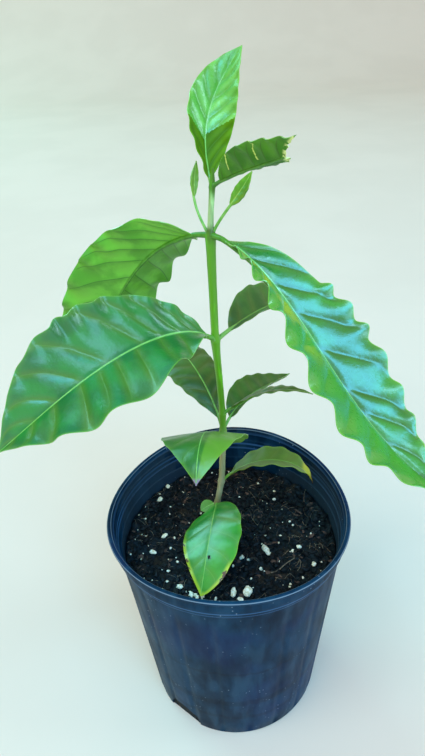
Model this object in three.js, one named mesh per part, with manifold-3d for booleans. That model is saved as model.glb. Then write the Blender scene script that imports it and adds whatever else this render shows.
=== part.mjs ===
// Potted coffee plant. Millimetres, +Z up, origin at the centre of the pot's flat underside,
// +X to the right and +Y away from the viewer. Headings are degrees from +X towards +Y.
import * as THREE from "three";
import Module from "manifold-3d";

const wasm = await Module();
wasm.setup();

// Gap between two pieces that touch in life
const GAP = 0.3;

// Pot
const POT_HEIGHT = 175;
const POT_FOOT_RADIUS = 64.4;
const POT_WALL_SLOPE = 0.0876;
const POT_WALL = 1.9;
const POT_FLOOR = 2.2;
const POT_SIDES = 60;
const POT_PANELS = 20;
const PANEL_DEPTH = 0.45;
const PANEL_TURN = -11.5;
const FOOT_ROUNDING = 1.9;
const LIP_RADIUS = 82.5;
const LIP_INNER_RADIUS = 79.2;
const LIP_DROP = 3;
const LIP_ROUNDING = 0.6;
const COLLAR_RADIUS = 80.3;
const COLLAR_FOOT = 162.5;
const COLLAR_SWELL = 0.3;
// Thin ridge around the wall under the collar
const RIDGE_FOOT = 157;
const RIDGE_RISE = 1.2;
const RIDGE_OUT = 0.7;
const RIDGE_TOP = 161;
// Heights of the panelled rings outside and of the plain ones inside
const PANEL_HEIGHTS = [8, 75, 150];
const INNER_HEIGHTS = [146, 125, 100, 60];
// Ledges moulded on the inner wall below the lip
const INNER_LEDGES = [
  { z: 171, r: 78.4 },
  { z: 165, r: 78.1 },
  { z: 163.5, r: 77.2 },
  { z: 158, r: 77.0 },
  { z: 156.5, r: 76.0 },
  { z: 150, r: 75.9 },
];
// The thin wall has been pushed out of round: how far, and towards which heading
const OVAL = 0.0147;
const OVAL_HEADING = 78.4;
const THREE_LOBE = 0.0268;
const THREE_LOBE_HEADING = -38.1;
// Drain notches in the foot
const NOTCH_HEADINGS = [-130, -10, 110];
const NOTCH_WIDTH = 28;
const NOTCH_HEIGHT = 13;
const NOTCH_DEPTH = 12;
const NOTCH_MARGIN = 6;
const NOTCH_SHOULDER = 0.85;

// Potting mix
const SOIL_TOP = 142;
const SOIL_BUMP = 1.6;
const SOIL_PATCH = 6;
const SOIL_LEVELS = [60, 100, 125, 141];
const SOIL_RINGS = [0.84, 0.66, 0.48, 0.3];
const SOIL_EDGE_GAP = 0.4;

// Stem: where it stands, then sideways place and radius at each height
const STEM_Y = 25.5;
const STEM_SIDES = 12;
const STEM = [
  { z: SOIL_TOP + GAP, x: -9.0, r: 3.6 },
  { z: 145, x: -8.7, r: 2.6 },
  { z: 150, x: -8.1, r: 2.7 },
  { z: 155, x: -7.0, r: 2.1 },
  { z: 166, x: -4.9, r: 2.1 },
  { z: 171.7, x: -3.9, r: 2.6 },
  { z: 177, x: -3.4, r: 2.1 },
  { z: 198, x: -2.1, r: 2.1 },
  { z: 206, x: -1.7, r: 2.5 },
  { z: 211.5, x: -1.4, r: 2.2 },
  { z: 217.1, x: -1.2, r: 2.6 },
  { z: 224, x: -1.1, r: 2.1 },
  { z: 231.5, x: -1.0, r: 2.5 },
  { z: 239, x: -1.2, r: 2.1 },
  { z: 262, x: -2.1, r: 2.2 },
  { z: 279, x: -3.0, r: 2.5 },
  { z: 287.6, x: -3.3, r: 3.0 },
  { z: 294, x: -3.4, r: 2.4 },
  { z: 325, x: -3.4, r: 2.5 },
  { z: 346, x: -3.3, r: 2.8 },
  { z: 355.2, x: -3.2, r: 3.2 },
  { z: 360, x: -3.0, r: 2.1 },
  { z: 370, x: -2.2, r: 1.8 },
  { z: 379, x: -1.3, r: 1.9 },
  { z: 383, x: -1.0, r: 2.0 },
  { z: 388, x: -0.6, r: 1.1 },
  { z: 392, x: -0.2, r: 0.4 },
];

// Leaves: height of the node, how they leave it, size of the blade, and how it is folded.
// rise, arch and fall are the slope of the midrib at its foot, at two fifths and at its tip.
// shoulder and point shape the outline; skew and lean make the two halves differ.
const LEAVES = {
  top_leaf_upright: {
    height: 381.8, heading: 115, turn: -98, rise: 60, arch: 50.5, fall: 48.5, petiole: 4.5,
    length: 77, width: 30, roll: 30, twist: 7, fold: 21, curl: 16, shoulder: 0.78, point: 0.91,
    skew: -0.02, lean: 0.09, waves: 5, wave: 0.8, stem: 0.9, rows: 16, sides: 4, tone: "young",
  },
  top_leaf_torn: {
    height: 381.8, heading: -54.5, turn: -7, rise: 32.5, arch: 19, fall: 29.5, petiole: 9,
    length: 71, width: 29, roll: -21, twist: -10, fold: 17, curl: 8.5, shoulder: 0.81, point: 0.83,
    skew: 0, lean: 0.12, waves: 4, wave: 0.6, stem: 1.0, rows: 16, sides: 6, tone: "dark",
    cut: 0.79, slant: 0.18, tear: 1.2,
  },
  upper_leaf_left: {
    height: 355.2, heading: 148, turn: 7, rise: -1, arch: -50, fall: -35, petiole: 11.4,
    length: 162, width: 69.5, roll: 38, twist: 11.5, fold: 21, curl: 5, shoulder: 0.64, point: 0.78,
    skew: -0.05, lean: -0.1, waves: 9, wave: 1.7, stem: 1.5, rows: 36, sides: 6, tone: "mature",
  },
  upper_leaf_right: {
    height: 355.2, heading: -54, turn: -6, rise: 7.5, arch: -33.5, fall: 2, petiole: 11,
    length: 174, width: 56, roll: -8.5, twist: 7.5, fold: 24, curl: 8, shoulder: 1.08, point: 0.75,
    skew: -0.1, lean: 0.26, waves: 11, wave: 1.6, stem: 1.5, rows: 44, sides: 6, tone: "mature",
  },
  middle_leaf_left: {
    height: 287.6, heading: 229.5, turn: -36, rise: 50, arch: -5.5, fall: -35, petiole: 6,
    length: 154, width: 73, roll: -24, twist: -18, fold: 22.5, curl: 19, shoulder: 1.4, point: 1.3,
    skew: 0.06, lean: 0.08, waves: 9, wave: 1.6, stem: 1.5, rows: 36, sides: 6, tone: "mature",
  },
  middle_leaf_right: {
    height: 287.6, heading: 38, turn: 17, rise: 19, arch: -2.5, fall: -51, petiole: 12,
    length: 96.5, width: 41, roll: -3, twist: 2, fold: 20.5, curl: 15, shoulder: 0.85, point: 1.11,
    skew: 0, lean: 0, waves: 6, wave: 1.0, stem: 1.3, rows: 16, sides: 4, tone: "mature",
  },
  lower_leaf_left: {
    height: 217.1, heading: 115, turn: -1, rise: 62.5, arch: 18.5, fall: -8, petiole: 8,
    length: 100, width: 37, roll: 1, twist: -6, fold: -1.5, curl: -22, shoulder: 1.05, point: 0.85,
    skew: 0.04, lean: 0.03, waves: 5, wave: 0.8, stem: 1.1, rows: 16, sides: 4, tone: "mature",
  },
  lower_leaf_right: {
    height: 217.1, heading: 47.5, turn: 1, rise: 53, arch: 1, fall: -3, petiole: 10.5,
    length: 74, width: 31, roll: -13, twist: 3, fold: 21, curl: 16, shoulder: 0.79, point: 1.11,
    skew: 0, lean: 0, waves: 4, wave: 0.6, stem: 1.0, rows: 16, sides: 4, tone: "mature",
  },
  lower_leaf_folded: {
    height: 231.5, heading: -25, turn: -1, rise: 45.5, arch: 36, fall: -11.5, petiole: 8,
    length: 63, width: 19, roll: -13, twist: -4, fold: 20.5, curl: -34, shoulder: 0.74, point: 1.14,
    skew: 0, lean: 0, waves: 3, wave: 0.5, stem: 1.0, rows: 14, sides: 4, tone: "mature",
  },
  arched_leaf_front: {
    height: 206.5, heading: 252, turn: 12.5, rise: 38, arch: 46, fall: -55, petiole: 6.5,
    length: 101, width: 53.5, roll: 5, twist: 2.5, fold: -5, curl: -3, shoulder: 0.87, point: 1.11,
    skew: -0.08, lean: -0.05, waves: 4, wave: 0.6, stem: 1.1, rows: 16, sides: 6, tone: "mature",
  },
  arched_leaf_right: {
    height: 171.7, heading: -6.5, turn: -4, rise: 50.5, arch: 19.5, fall: -77, petiole: 9,
    length: 72, width: 29, roll: -15, twist: 3.5, fold: 13, curl: 1.5, shoulder: 0.76, point: 1.12,
    skew: 0, lean: 0, waves: 5, wave: 0.9, stem: 0.9, rows: 15, sides: 4, tone: "mature",
  },
  foot_leaf_front: {
    height: 150.1, heading: 264, turn: -7, rise: 35, arch: 5, fall: -36, petiole: 3,
    length: 83, width: 44.5, roll: 29, twist: -10, fold: 4, curl: -14, shoulder: 0.81, point: 0.9,
    skew: 0.03, lean: -0.16, waves: 6, wave: 0.8, stem: 0.9, rows: 16, sides: 6, tone: "mature",
  },
  foot_leaf_small: {
    height: 150.1, heading: 200, turn: 6, rise: 14, arch: -6, fall: -20, petiole: 2.5,
    length: 11, width: 11, roll: -8, twist: 0, fold: 6, curl: 0, shoulder: 0.7, point: 0.8,
    skew: 0, lean: 0, waves: 0, wave: 0, stem: 0.7, rows: 6, sides: 4, tone: "mature",
  },
};

// Side shoots: a thin stalk in a leaf's axil, ending in two young leaves pressed into one blade
const SHOOTS = {
  shoot_left: {
    height: 353.3, heading: 147.5, turn: -92, rise: 61.5, arch: 46.5, fall: 69, petiole: 25.5,
    length: 21, width: 5.6, roll: 56, twist: 1, fold: 11, curl: -2, shoulder: 0.8, point: 1.0,
    skew: 0, lean: 0.05, waves: 0, wave: 0, stem: 0.75, rows: 12, sides: 4, tone: "young",
  },
  shoot_right: {
    height: 353.3, heading: -14.5, turn: 3.5, rise: 68.5, arch: 53.5, fall: 64.5, petiole: 22,
    length: 22, width: 8.4, roll: 43.5, twist: 4.5, fold: 8, curl: -7, shoulder: 0.8, point: 1.0,
    skew: 0, lean: 0, waves: 0, wave: 0, stem: 0.85, rows: 12, sides: 4, tone: "young",
  },
};

// A tip that isn't torn off
const WHOLE_TIP = { cut: 1, slant: 0, tear: 0 };

const THINNEST = 0.9;
const THICK_PER_LENGTH = 0.0108;
const TIP_HALF_WIDTH = 0.35;
const PATH_STEPS = 96;
const FOOT_STEP = 0.0005;
// Blade shares: where the stalk has gone over into it, and how much of its girth is gone at the tip
const BLADE_START = 0.08;
const RIB_LOSS = 0.75;
// How far the waves of the two margins are out of step
const WAVE_SHIFT = 1.9;

const COLOURS = {
  pot: { colour: 0x1b222c, roughness: 0.5 },
  soil: { colour: 0x17120e, roughness: 0.95 },
  stem: { colour: 0x6f9a3c, roughness: 0.5 },
  young: { colour: 0x5fae3a, roughness: 0.35 },
  dark: { colour: 0x2f6328, roughness: 0.4 },
  mature: { colour: 0x2f7f2c, roughness: 0.3 },
};

const root = new THREE.Group();
root.name = "potted_coffee_plant";
const container = new THREE.Group();
const plant = new THREE.Group();
plant.position.set(0, STEM_Y, 0);
root.add(container, plant);

const rad = (deg) => (deg * Math.PI) / 180;

// Adds a named piece to its group, in its own colour
function addMesh(group, name, geometry, tone) {
  const { colour, roughness } = COLOURS[tone];
  const material = new THREE.MeshStandardMaterial({ color: colour, roughness, metalness: 0 });
  const mesh = new THREE.Mesh(geometry, material);
  mesh.name = name;
  group.add(mesh);
  return mesh;
}

// Geometry from points and triangles, turned to face outwards
function closedGeometry(points, triangles) {
  let volume = 0;
  for (const [a, b, c] of triangles) {
    volume += points[a].dot(points[b].clone().cross(points[c]));
  }
  const faces = volume < 0 ? triangles.map(([a, b, c]) => [a, c, b]) : triangles;
  const geometry = new THREE.BufferGeometry();
  geometry.setFromPoints(points);
  geometry.setIndex(faces.flat());
  geometry.computeVertexNormals();
  return geometry;
}

// A skin over closed rings of equal count, shut by a fan at each end
function ringsGeometry(rings, first, last) {
  const count = rings[0].length;
  const points = [...rings.flat(), first, last];
  const firstAt = points.length - 2;
  const lastAt = points.length - 1;
  const triangles = [];
  for (let i = 0; i < count; i++) {
    const j = (i + 1) % count;
    triangles.push([firstAt, j, i]);
    const end = (rings.length - 1) * count;
    triangles.push([lastAt, end + i, end + j]);
    for (let k = 0; k + 1 < rings.length; k++) {
      const low = k * count;
      const high = low + count;
      triangles.push([low + i, low + j, high + j]);
      triangles.push([low + i, high + j, high + i]);
    }
  }
  return closedGeometry(points, triangles);
}

function toSolid(geometry) {
  const position = geometry.getAttribute("position");
  return new wasm.Manifold(
    new wasm.Mesh({
      numProp: 3,
      vertProperties: new Float32Array(position.array),
      triVerts: new Uint32Array(geometry.index.array),
    }),
  );
}

function fromSolid(solid) {
  const made = solid.getMesh();
  const geometry = new THREE.BufferGeometry();
  geometry.setAttribute("position", new THREE.BufferAttribute(made.vertProperties, 3));
  geometry.setIndex(new THREE.BufferAttribute(made.triVerts, 1));
  geometry.computeVertexNormals();
  return geometry;
}

// How far the wall stands off a true circle at this heading and height
function outOfRound(angle, z) {
  const grip = (z / POT_HEIGHT) ** 6;
  const oval = OVAL * Math.cos(2 * (angle - rad(OVAL_HEADING)));
  const lobes = THREE_LOBE * Math.cos(3 * (angle - rad(THREE_LOBE_HEADING)));
  return 1 + grip * (oval + lobes);
}

const wallRadius = (z) => POT_FOOT_RADIUS + POT_WALL_SLOPE * z;
const innerRadius = (z) => wallRadius(z) - POT_WALL;

function potRing(radius, z, panelled) {
  const ring = [];
  for (let i = 0; i < POT_SIDES; i++) {
    const angle = (2 * Math.PI * i) / POT_SIDES + rad(PANEL_TURN);
    const onRib = i % (POT_SIDES / POT_PANELS) === 0;
    const sunk = panelled && onRib ? PANEL_DEPTH : 0;
    const r = (radius - sunk) * outOfRound(angle, z);
    ring.push(new THREE.Vector3(r * Math.cos(angle), r * Math.sin(angle), z));
  }
  return ring;
}

// Pot: tapered panelled wall, collar, rolled lip, stepped inner wall
function buildPot() {
  const lipFoot = POT_HEIGHT - LIP_DROP;
  const rings = [
    potRing(POT_FOOT_RADIUS - FOOT_ROUNDING, 0, false),
    potRing(POT_FOOT_RADIUS, FOOT_ROUNDING, false),
    ...PANEL_HEIGHTS.map((z) => potRing(wallRadius(z), z, true)),
    potRing(wallRadius(RIDGE_FOOT), RIDGE_FOOT, false),
    potRing(wallRadius(RIDGE_FOOT) + RIDGE_OUT, RIDGE_FOOT + RIDGE_RISE, false),
    potRing(wallRadius(RIDGE_TOP) + RIDGE_OUT, RIDGE_TOP, false),
    potRing(COLLAR_RADIUS, COLLAR_FOOT, false),
    potRing(COLLAR_RADIUS + COLLAR_SWELL, lipFoot, false),
    potRing(LIP_RADIUS - LIP_ROUNDING, lipFoot, false),
    potRing(LIP_RADIUS, lipFoot + 2 * LIP_ROUNDING, false),
    potRing(LIP_RADIUS - LIP_ROUNDING, POT_HEIGHT - LIP_ROUNDING, false),
    potRing(LIP_RADIUS - 3 * LIP_ROUNDING, POT_HEIGHT, false),
    potRing(LIP_INNER_RADIUS, POT_HEIGHT - LIP_ROUNDING, false),
    ...INNER_LEDGES.map(({ r, z }) => potRing(r, z, false)),
    ...INNER_HEIGHTS.map((z) => potRing(innerRadius(z), z, false)),
    potRing(innerRadius(POT_FLOOR), POT_FLOOR, false),
  ];
  const under = new THREE.Vector3(0, 0, 0);
  const floor = new THREE.Vector3(0, 0, POT_FLOOR);
  let pot = toSolid(ringsGeometry(rings, under, floor));
  for (const heading of NOTCH_HEADINGS) {
    pot = pot.subtract(notchSolid(heading));
  }
  addMesh(container, "pot", fromSolid(pot), "pot");
}

// An arch-shaped cutter through the foot of the wall
function notchSolid(heading) {
  const half = NOTCH_WIDTH / 2;
  const arch = new THREE.Shape();
  arch.moveTo(-half, -NOTCH_MARGIN);
  arch.lineTo(half, -NOTCH_MARGIN);
  arch.lineTo(half, 0);
  arch.quadraticCurveTo(half * NOTCH_SHOULDER, NOTCH_HEIGHT, 0, NOTCH_HEIGHT);
  arch.quadraticCurveTo(-half * NOTCH_SHOULDER, NOTCH_HEIGHT, -half, 0);
  const depth = NOTCH_DEPTH + NOTCH_MARGIN;
  const cutter = new THREE.ExtrudeGeometry(arch, { depth, bevelEnabled: false, curveSegments: 5 });
  const turned = new THREE.Matrix4().makeBasis(
    new THREE.Vector3(-Math.sin(rad(heading)), Math.cos(rad(heading)), 0),
    new THREE.Vector3(0, 0, 1),
    new THREE.Vector3(Math.cos(rad(heading)), Math.sin(rad(heading)), 0),
  );
  const start = POT_FOOT_RADIUS - NOTCH_DEPTH;
  turned.setPosition(start * Math.cos(rad(heading)), start * Math.sin(rad(heading)), 0);
  cutter.applyMatrix4(turned);
  const points = [];
  const found = new Map();
  const index = [];
  const position = cutter.getAttribute("position");
  for (let i = 0; i < position.count; i++) {
    const p = new THREE.Vector3().fromBufferAttribute(position, i);
    const key = p.toArray().map((v) => v.toFixed(4)).join();
    if (!found.has(key)) {
      found.set(key, points.length);
      points.push(p);
    }
    index.push(found.get(key));
  }
  const triangles = [];
  for (let i = 0; i < index.length; i += 3) {
    triangles.push(index.slice(i, i + 3));
  }
  return toSolid(closedGeometry(points, triangles));
}

// Potting mix: fills the pot, with a lumpy top that is level where the stem stands
function buildSoil() {
  const step = 2;
  const shrink = Math.cos(Math.PI / POT_SIDES);
  const levels = [POT_FLOOR + GAP, ...SOIL_LEVELS];
  const edgeAt = (z) =>
    potRing(innerRadius(z) * shrink - SOIL_EDGE_GAP, z, false).filter((_, i) => i % step === 0);
  const rings = levels.map(edgeAt);
  const edge = rings[rings.length - 1];
  const foot = new THREE.Vector3(STEM[0].x, STEM_Y, SOIL_TOP);
  const lump = (x, y) =>
    Math.sin(x / 7 + 0.6) * Math.cos(y / 9) + 0.6 * Math.sin(x / 17 - y / 12);
  for (const share of SOIL_RINGS) {
    rings.push(
      edge.map((p) => {
        const q = foot.clone().lerp(p, share);
        const calm = Math.min(1, Math.max(0, (share - 0.2) * 2));
        q.z = SOIL_TOP + SOIL_BUMP * calm * lump(q.x, q.y);
        return q;
      }),
    );
  }
  rings.push(
    edge.map((p) => {
      const away = p.clone().sub(foot).setZ(0).setLength(SOIL_PATCH);
      return foot.clone().add(away);
    }),
  );
  const bottom = new THREE.Vector3(0, 0, POT_FLOOR + GAP);
  addMesh(container, "potting_soil", ringsGeometry(rings, bottom, foot), "soil");
}

// Place and radius of the stem at a height, between the listed ones
function stemAt(z) {
  let k = 0;
  while (k < STEM.length - 2 && STEM[k + 1].z < z) {
    k++;
  }
  const low = STEM[k];
  const high = STEM[k + 1];
  const t = Math.min(1, Math.max(0, (z - low.z) / (high.z - low.z)));
  return { x: low.x + (high.x - low.x) * t, r: low.r + (high.r - low.r) * t };
}

function buildStem() {
  const rings = STEM.map(({ x, z, r }) => {
    const ring = [];
    for (let i = 0; i < STEM_SIDES; i++) {
      const angle = (2 * Math.PI * i) / STEM_SIDES;
      ring.push(new THREE.Vector3(x + r * Math.cos(angle), r * Math.sin(angle), z));
    }
    return ring;
  });
  const low = STEM[0];
  const top = STEM[STEM.length - 1];
  const foot = new THREE.Vector3(low.x, 0, low.z);
  const bud = new THREE.Vector3(top.x, 0, top.z + top.r);
  addMesh(plant, "stem", ringsGeometry(rings, foot, bud), "stem");
}

// Slope of the midrib at share s of its way, through rise, arch and fall
function slopeAt(leaf, s) {
  const rise = (leaf.rise * (s - 0.4) * (s - 1)) / 0.4;
  const arch = (leaf.arch * s * (1 - s)) / 0.24;
  const fall = (leaf.fall * s * (s - 0.4)) / 0.6;
  return rad(rise + arch + fall);
}

function directionAt(leaf, s) {
  const heading = rad(leaf.turn * s);
  const slope = slopeAt(leaf, s);
  return new THREE.Vector3(
    Math.cos(slope) * Math.cos(heading),
    Math.cos(slope) * Math.sin(heading),
    Math.sin(slope),
  );
}

// Midrib from the stem's axis, first along +X, with the blade's own side and up at each point
function midrib(leaf) {
  const whole = leaf.petiole + leaf.length;
  const places = [new THREE.Vector3()];
  for (let i = 0; i < PATH_STEPS; i++) {
    const along = directionAt(leaf, (i + 0.5) / PATH_STEPS);
    places.push(places[i].clone().addScaledVector(along, whole / PATH_STEPS));
  }
  return (s) => {
    const at = Math.min(s * PATH_STEPS, PATH_STEPS - 1e-6);
    const k = Math.floor(at);
    const place = places[k].clone().lerp(places[k + 1], at - k);
    const along = directionAt(leaf, s);
    const heading = rad(leaf.turn * s);
    const level = new THREE.Vector3(-Math.sin(heading), Math.cos(heading), 0);
    const roll = rad(leaf.roll + leaf.twist * s);
    const side = level.clone().applyAxisAngle(along, roll);
    const up = along.clone().cross(side);
    return { place, along, side, up };
  };
}

// Share of the way at which the foot of a stalk stands one gap off the stem's side
function footShare(leaf, at) {
  const heading = rad(leaf.heading);
  const tall = leaf.stem / Math.cos(rad(leaf.rise));
  const clearance = (s, lift) => {
    const { place } = at(s);
    const stem = stemAt(leaf.height + place.z + lift);
    const x = stemAt(leaf.height).x + place.x * Math.cos(heading) - stem.x;
    return Math.hypot(x, place.x * Math.sin(heading)) - stem.r;
  };
  let s = FOOT_STEP;
  while (Math.min(clearance(s, -tall), clearance(s, 0), clearance(s, tall)) < GAP) {
    s += FOOT_STEP;
  }
  return s;
}

// Half width of the blade at share b of its length, on the side of sign
function halfWidth(leaf, b, sign) {
  const point = leaf.point + sign * leaf.lean;
  const widest = leaf.shoulder / (leaf.shoulder + point);
  const at = Math.min(Math.max(b, 1e-6), 1 - 1e-6);
  const shape = (at / widest) ** leaf.shoulder * ((1 - at) / (1 - widest)) ** point;
  return b <= 0 ? 0 : 0.5 * leaf.width * (1 + sign * leaf.skew) * shape;
}

// A leaf as one closed solid: round petiole that flattens into a folded blade with waved margins
function leafGeometry(leaf) {
  const whole = leaf.petiole + leaf.length;
  const slab = Math.max(THINNEST, THICK_PER_LENGTH * whole) / 2;
  const at = midrib(leaf);
  const start = footShare(leaf, at);
  const columns = leaf.sides + 1;
  const points = [];
  const faces = { upper: [], lower: [] };
  for (let i = 0; i <= leaf.rows; i++) {
    const upper = [];
    const lower = [];
    for (let j = 0; j < columns; j++) {
      const t = (2 * j) / leaf.sides - 1;
      const sign = Math.sign(t);
      const end = (leaf.petiole + leaf.length * (leaf.cut - leaf.slant * t)) / whole;
      const s = start + ((end - start) * i) / leaf.rows;
      const b = (s * whole - leaf.petiole) / leaf.length;
      const { place, along, side, up } = at(s);
      const round = leaf.stem * (1 - RIB_LOSS * Math.max(0, b));
      const blade = Math.min(1, Math.max(0, b / BLADE_START));
      const swell = Math.sqrt(Math.sin(Math.PI * Math.min(1, Math.max(0, b))));
      const flat = halfWidth(leaf, b, sign || 1);
      const half = Math.max(Math.hypot(round * (1 - blade), flat), TIP_HALF_WIDTH);
      const lean = blade * rad(leaf.fold + 0.5 * leaf.curl * Math.abs(t));
      const phase = 2 * Math.PI * leaf.waves * b + (sign > 0 ? 0 : WAVE_SHIFT);
      const ruffle = leaf.wave * swell * Math.abs(t) ** 3 * Math.sin(phase);
      const across = half * Math.abs(t);
      const middle = place
        .clone()
        .addScaledVector(side, sign * across * Math.cos(lean))
        .addScaledVector(up, across * Math.sin(lean) + ruffle);
      const normal = up
        .clone()
        .multiplyScalar(Math.cos(lean))
        .addScaledVector(side, -sign * Math.sin(lean));
      const disc = Math.sqrt(Math.max(0, round * round - across * across));
      const over = Math.max(slab, disc * (1 - blade) + slab * blade);
      const under = Math.max(slab, disc);
      if (i === leaf.rows) {
        middle.addScaledVector(along, leaf.tear * (j % 2 ? -1 : 1));
      }
      if (i === 0) {
        const flatSide = new THREE.Vector3(-along.y, along.x, 0).normalize();
        middle.copy(place).addScaledVector(flatSide, sign * across);
        normal.set(0, 0, 1 / Math.cos(rad(leaf.rise)));
      }
      upper.push(middle.clone().addScaledVector(normal, over));
      lower.push(middle.clone().addScaledVector(normal, -under));
    }
    faces.upper.push(points.length);
    points.push(...upper);
    faces.lower.push(points.length);
    points.push(...lower);
  }
  return closedGeometry(points, skinTriangles(faces, columns));
}

// Triangles of a thick sheet whose rows are kept as upper and lower points
function skinTriangles({ upper, lower }, columns) {
  const triangles = [];
  const quad = (a, b, c, d) => triangles.push([a, b, c], [a, c, d]);
  for (let i = 0; i + 1 < upper.length; i++) {
    const [u, v] = [upper[i], upper[i + 1]];
    const [l, m] = [lower[i], lower[i + 1]];
    for (let j = 0; j + 1 < columns; j++) {
      quad(u + j, v + j, v + j + 1, u + j + 1);
      quad(l + j, l + j + 1, m + j + 1, m + j);
    }
    quad(u, l, m, v);
    quad(u + columns - 1, v + columns - 1, m + columns - 1, l + columns - 1);
  }
  const last = upper.length - 1;
  for (let j = 0; j + 1 < columns; j++) {
    quad(upper[0] + j, upper[0] + j + 1, lower[0] + j + 1, lower[0] + j);
    quad(upper[last] + j, lower[last] + j, lower[last] + j + 1, upper[last] + j + 1);
  }
  return triangles;
}

buildPot();
buildSoil();
buildStem();
for (const [name, given] of Object.entries({ ...LEAVES, ...SHOOTS })) {
  const leaf = { ...WHOLE_TIP, ...given };
  const mesh = addMesh(plant, name, leafGeometry(leaf), leaf.tone);
  mesh.position.set(stemAt(leaf.height).x, 0, leaf.height);
  mesh.rotation.z = rad(leaf.heading);
}

export default root;
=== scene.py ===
# Potted coffee plant: a young plant with glossy, wave-edged leaves in a black nursery pot.
# Metres, Z up. The origin is the centre of the pot's underside, X runs right and Y away.
import math

import bpy
import numpy as np
from mathutils import Matrix, Vector, noise


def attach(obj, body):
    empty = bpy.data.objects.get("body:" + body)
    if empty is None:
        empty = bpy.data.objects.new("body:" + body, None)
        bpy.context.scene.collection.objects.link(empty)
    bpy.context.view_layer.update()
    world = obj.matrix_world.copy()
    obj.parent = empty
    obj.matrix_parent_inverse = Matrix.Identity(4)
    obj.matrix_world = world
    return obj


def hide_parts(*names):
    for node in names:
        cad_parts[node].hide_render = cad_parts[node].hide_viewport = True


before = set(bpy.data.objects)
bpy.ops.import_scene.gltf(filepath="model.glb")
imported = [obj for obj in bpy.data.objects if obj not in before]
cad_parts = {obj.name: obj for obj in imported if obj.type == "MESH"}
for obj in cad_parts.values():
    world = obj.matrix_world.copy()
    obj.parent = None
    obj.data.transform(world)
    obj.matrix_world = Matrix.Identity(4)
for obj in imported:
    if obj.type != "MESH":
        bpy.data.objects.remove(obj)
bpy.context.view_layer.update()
bpy.ops.object.select_all(action="DESELECT")


# Camera
# The view of someone who stands in front of the pot and looks down on it, head a little tilted.
EYE = Vector((-0.0064, -0.3001, 0.4691))
LOOK_DOWN = 0.56973
HEAD_TILT = -0.05421
FOCAL_PIXELS = 600
PICTURE_HEIGHT = 756
SENSOR_HEIGHT = 36

ahead = Vector((0, math.cos(LOOK_DOWN), -math.sin(LOOK_DOWN)))
level = Vector((1, 0, 0))
crown = level.cross(ahead)
right = level * math.cos(HEAD_TILT) + crown * math.sin(HEAD_TILT)
top = crown * math.cos(HEAD_TILT) - level * math.sin(HEAD_TILT)
camera_data = bpy.data.cameras.new("camera")
camera_data.sensor_fit = "VERTICAL"
camera_data.sensor_height = SENSOR_HEIGHT
camera_data.lens = SENSOR_HEIGHT * FOCAL_PIXELS / PICTURE_HEIGHT
camera = bpy.data.objects.new("camera", camera_data)
turned = Matrix((right, top, -ahead)).transposed().to_4x4()
camera.matrix_world = Matrix.Translation(EYE) @ turned
bpy.context.scene.collection.objects.link(camera)
bpy.context.scene.camera = camera


# Pot
# A one-gallon nursery pot of thin black plastic, moulded in one piece: a tapered wall in twenty
# shallow panels, a collar under a rolled lip, ledges inside, and drain notches in its foot.
POT_HEIGHT = 0.175
FOOT_RADIUS = 0.0644
WALL_SLOPE = 0.0876
WALL = 0.0019
POT_FLOOR = 0.0022
INSIDE_TOP = 0.172
POT_SIDES = 360
PANELS = 20
PANEL_TURN = math.radians(-11.5)
PANEL_GROOVE = 0.0008
PANEL_GROOVE_WIDTH = 0.0021
PANEL_TOP = 0.153
PANEL_FADE = 0.01
COLLAR_RADIUS = 0.0804
LIP_CENTRE = (0.0811, 0.1735)
LIP_ROUND = 0.00145
LIP_INNER_ROUND = LIP_ROUND * 1.25
LIP_TURNS = (-78, -50, -22, 6, 34, 62, 90, 118, 140)
# The pot's section, as (outward, height): the rounded foot, the bead under the collar, the collar,
# and the ledges inside, whose first value is a radius
FOOT_ROUND = ((-0.0019, 0), (-0.0009, 0.0002), (-0.0002, 0.0008))
BEAD = ((0, 0.1573), (0.0004, 0.1577), (0.00075, 0.1583), (0.0008, 0.1590), (0.0006, 0.1610))
COLLAR = ((-0.0009, 0.1617), (-0.0002, 0.1621), (0, 0.1627), (0, 0.1660), (0.0001, 0.1712))
LEDGES = ((0.0784, 0.171), (0.0781, 0.165), (0.0770, 0.158), (0.0759, 0.150))
LEDGE_STEPS = ((0.0006, 0.0012), (0.0002, 0.0003), (-0.0002, 0))
INNER_LEVELS = (0.146, 0.140, 0.125, 0.1, 0.06, 0.0032)
WALL_LEVELS = np.linspace(0.002, PANEL_TOP, 16)
OVAL = (0.0147, math.radians(78.4))
THREE_LOBE = (0.0268, math.radians(-38.1))
NOTCH_HEADINGS = (-130, -10, 110)
NOTCH_HALF_WIDTH = 0.014
NOTCH_HEIGHT = 0.019
NOTCH_DEPTH = 0.012
NOTCH_OVERCUT = 0.01


def wall_radius(height):
    return FOOT_RADIUS + WALL_SLOPE * height


def out_of_round(angle, height):
    """How far the thin wall stands off a true circle, which is most at the lip."""
    slack = (height / POT_HEIGHT) ** 6
    oval = OVAL[0] * np.cos(2 * (angle - OVAL[1]))
    lobes = THREE_LOBE[0] * np.cos(3 * (angle - THREE_LOBE[1]))
    return 1 + slack * (oval + lobes)


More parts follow.
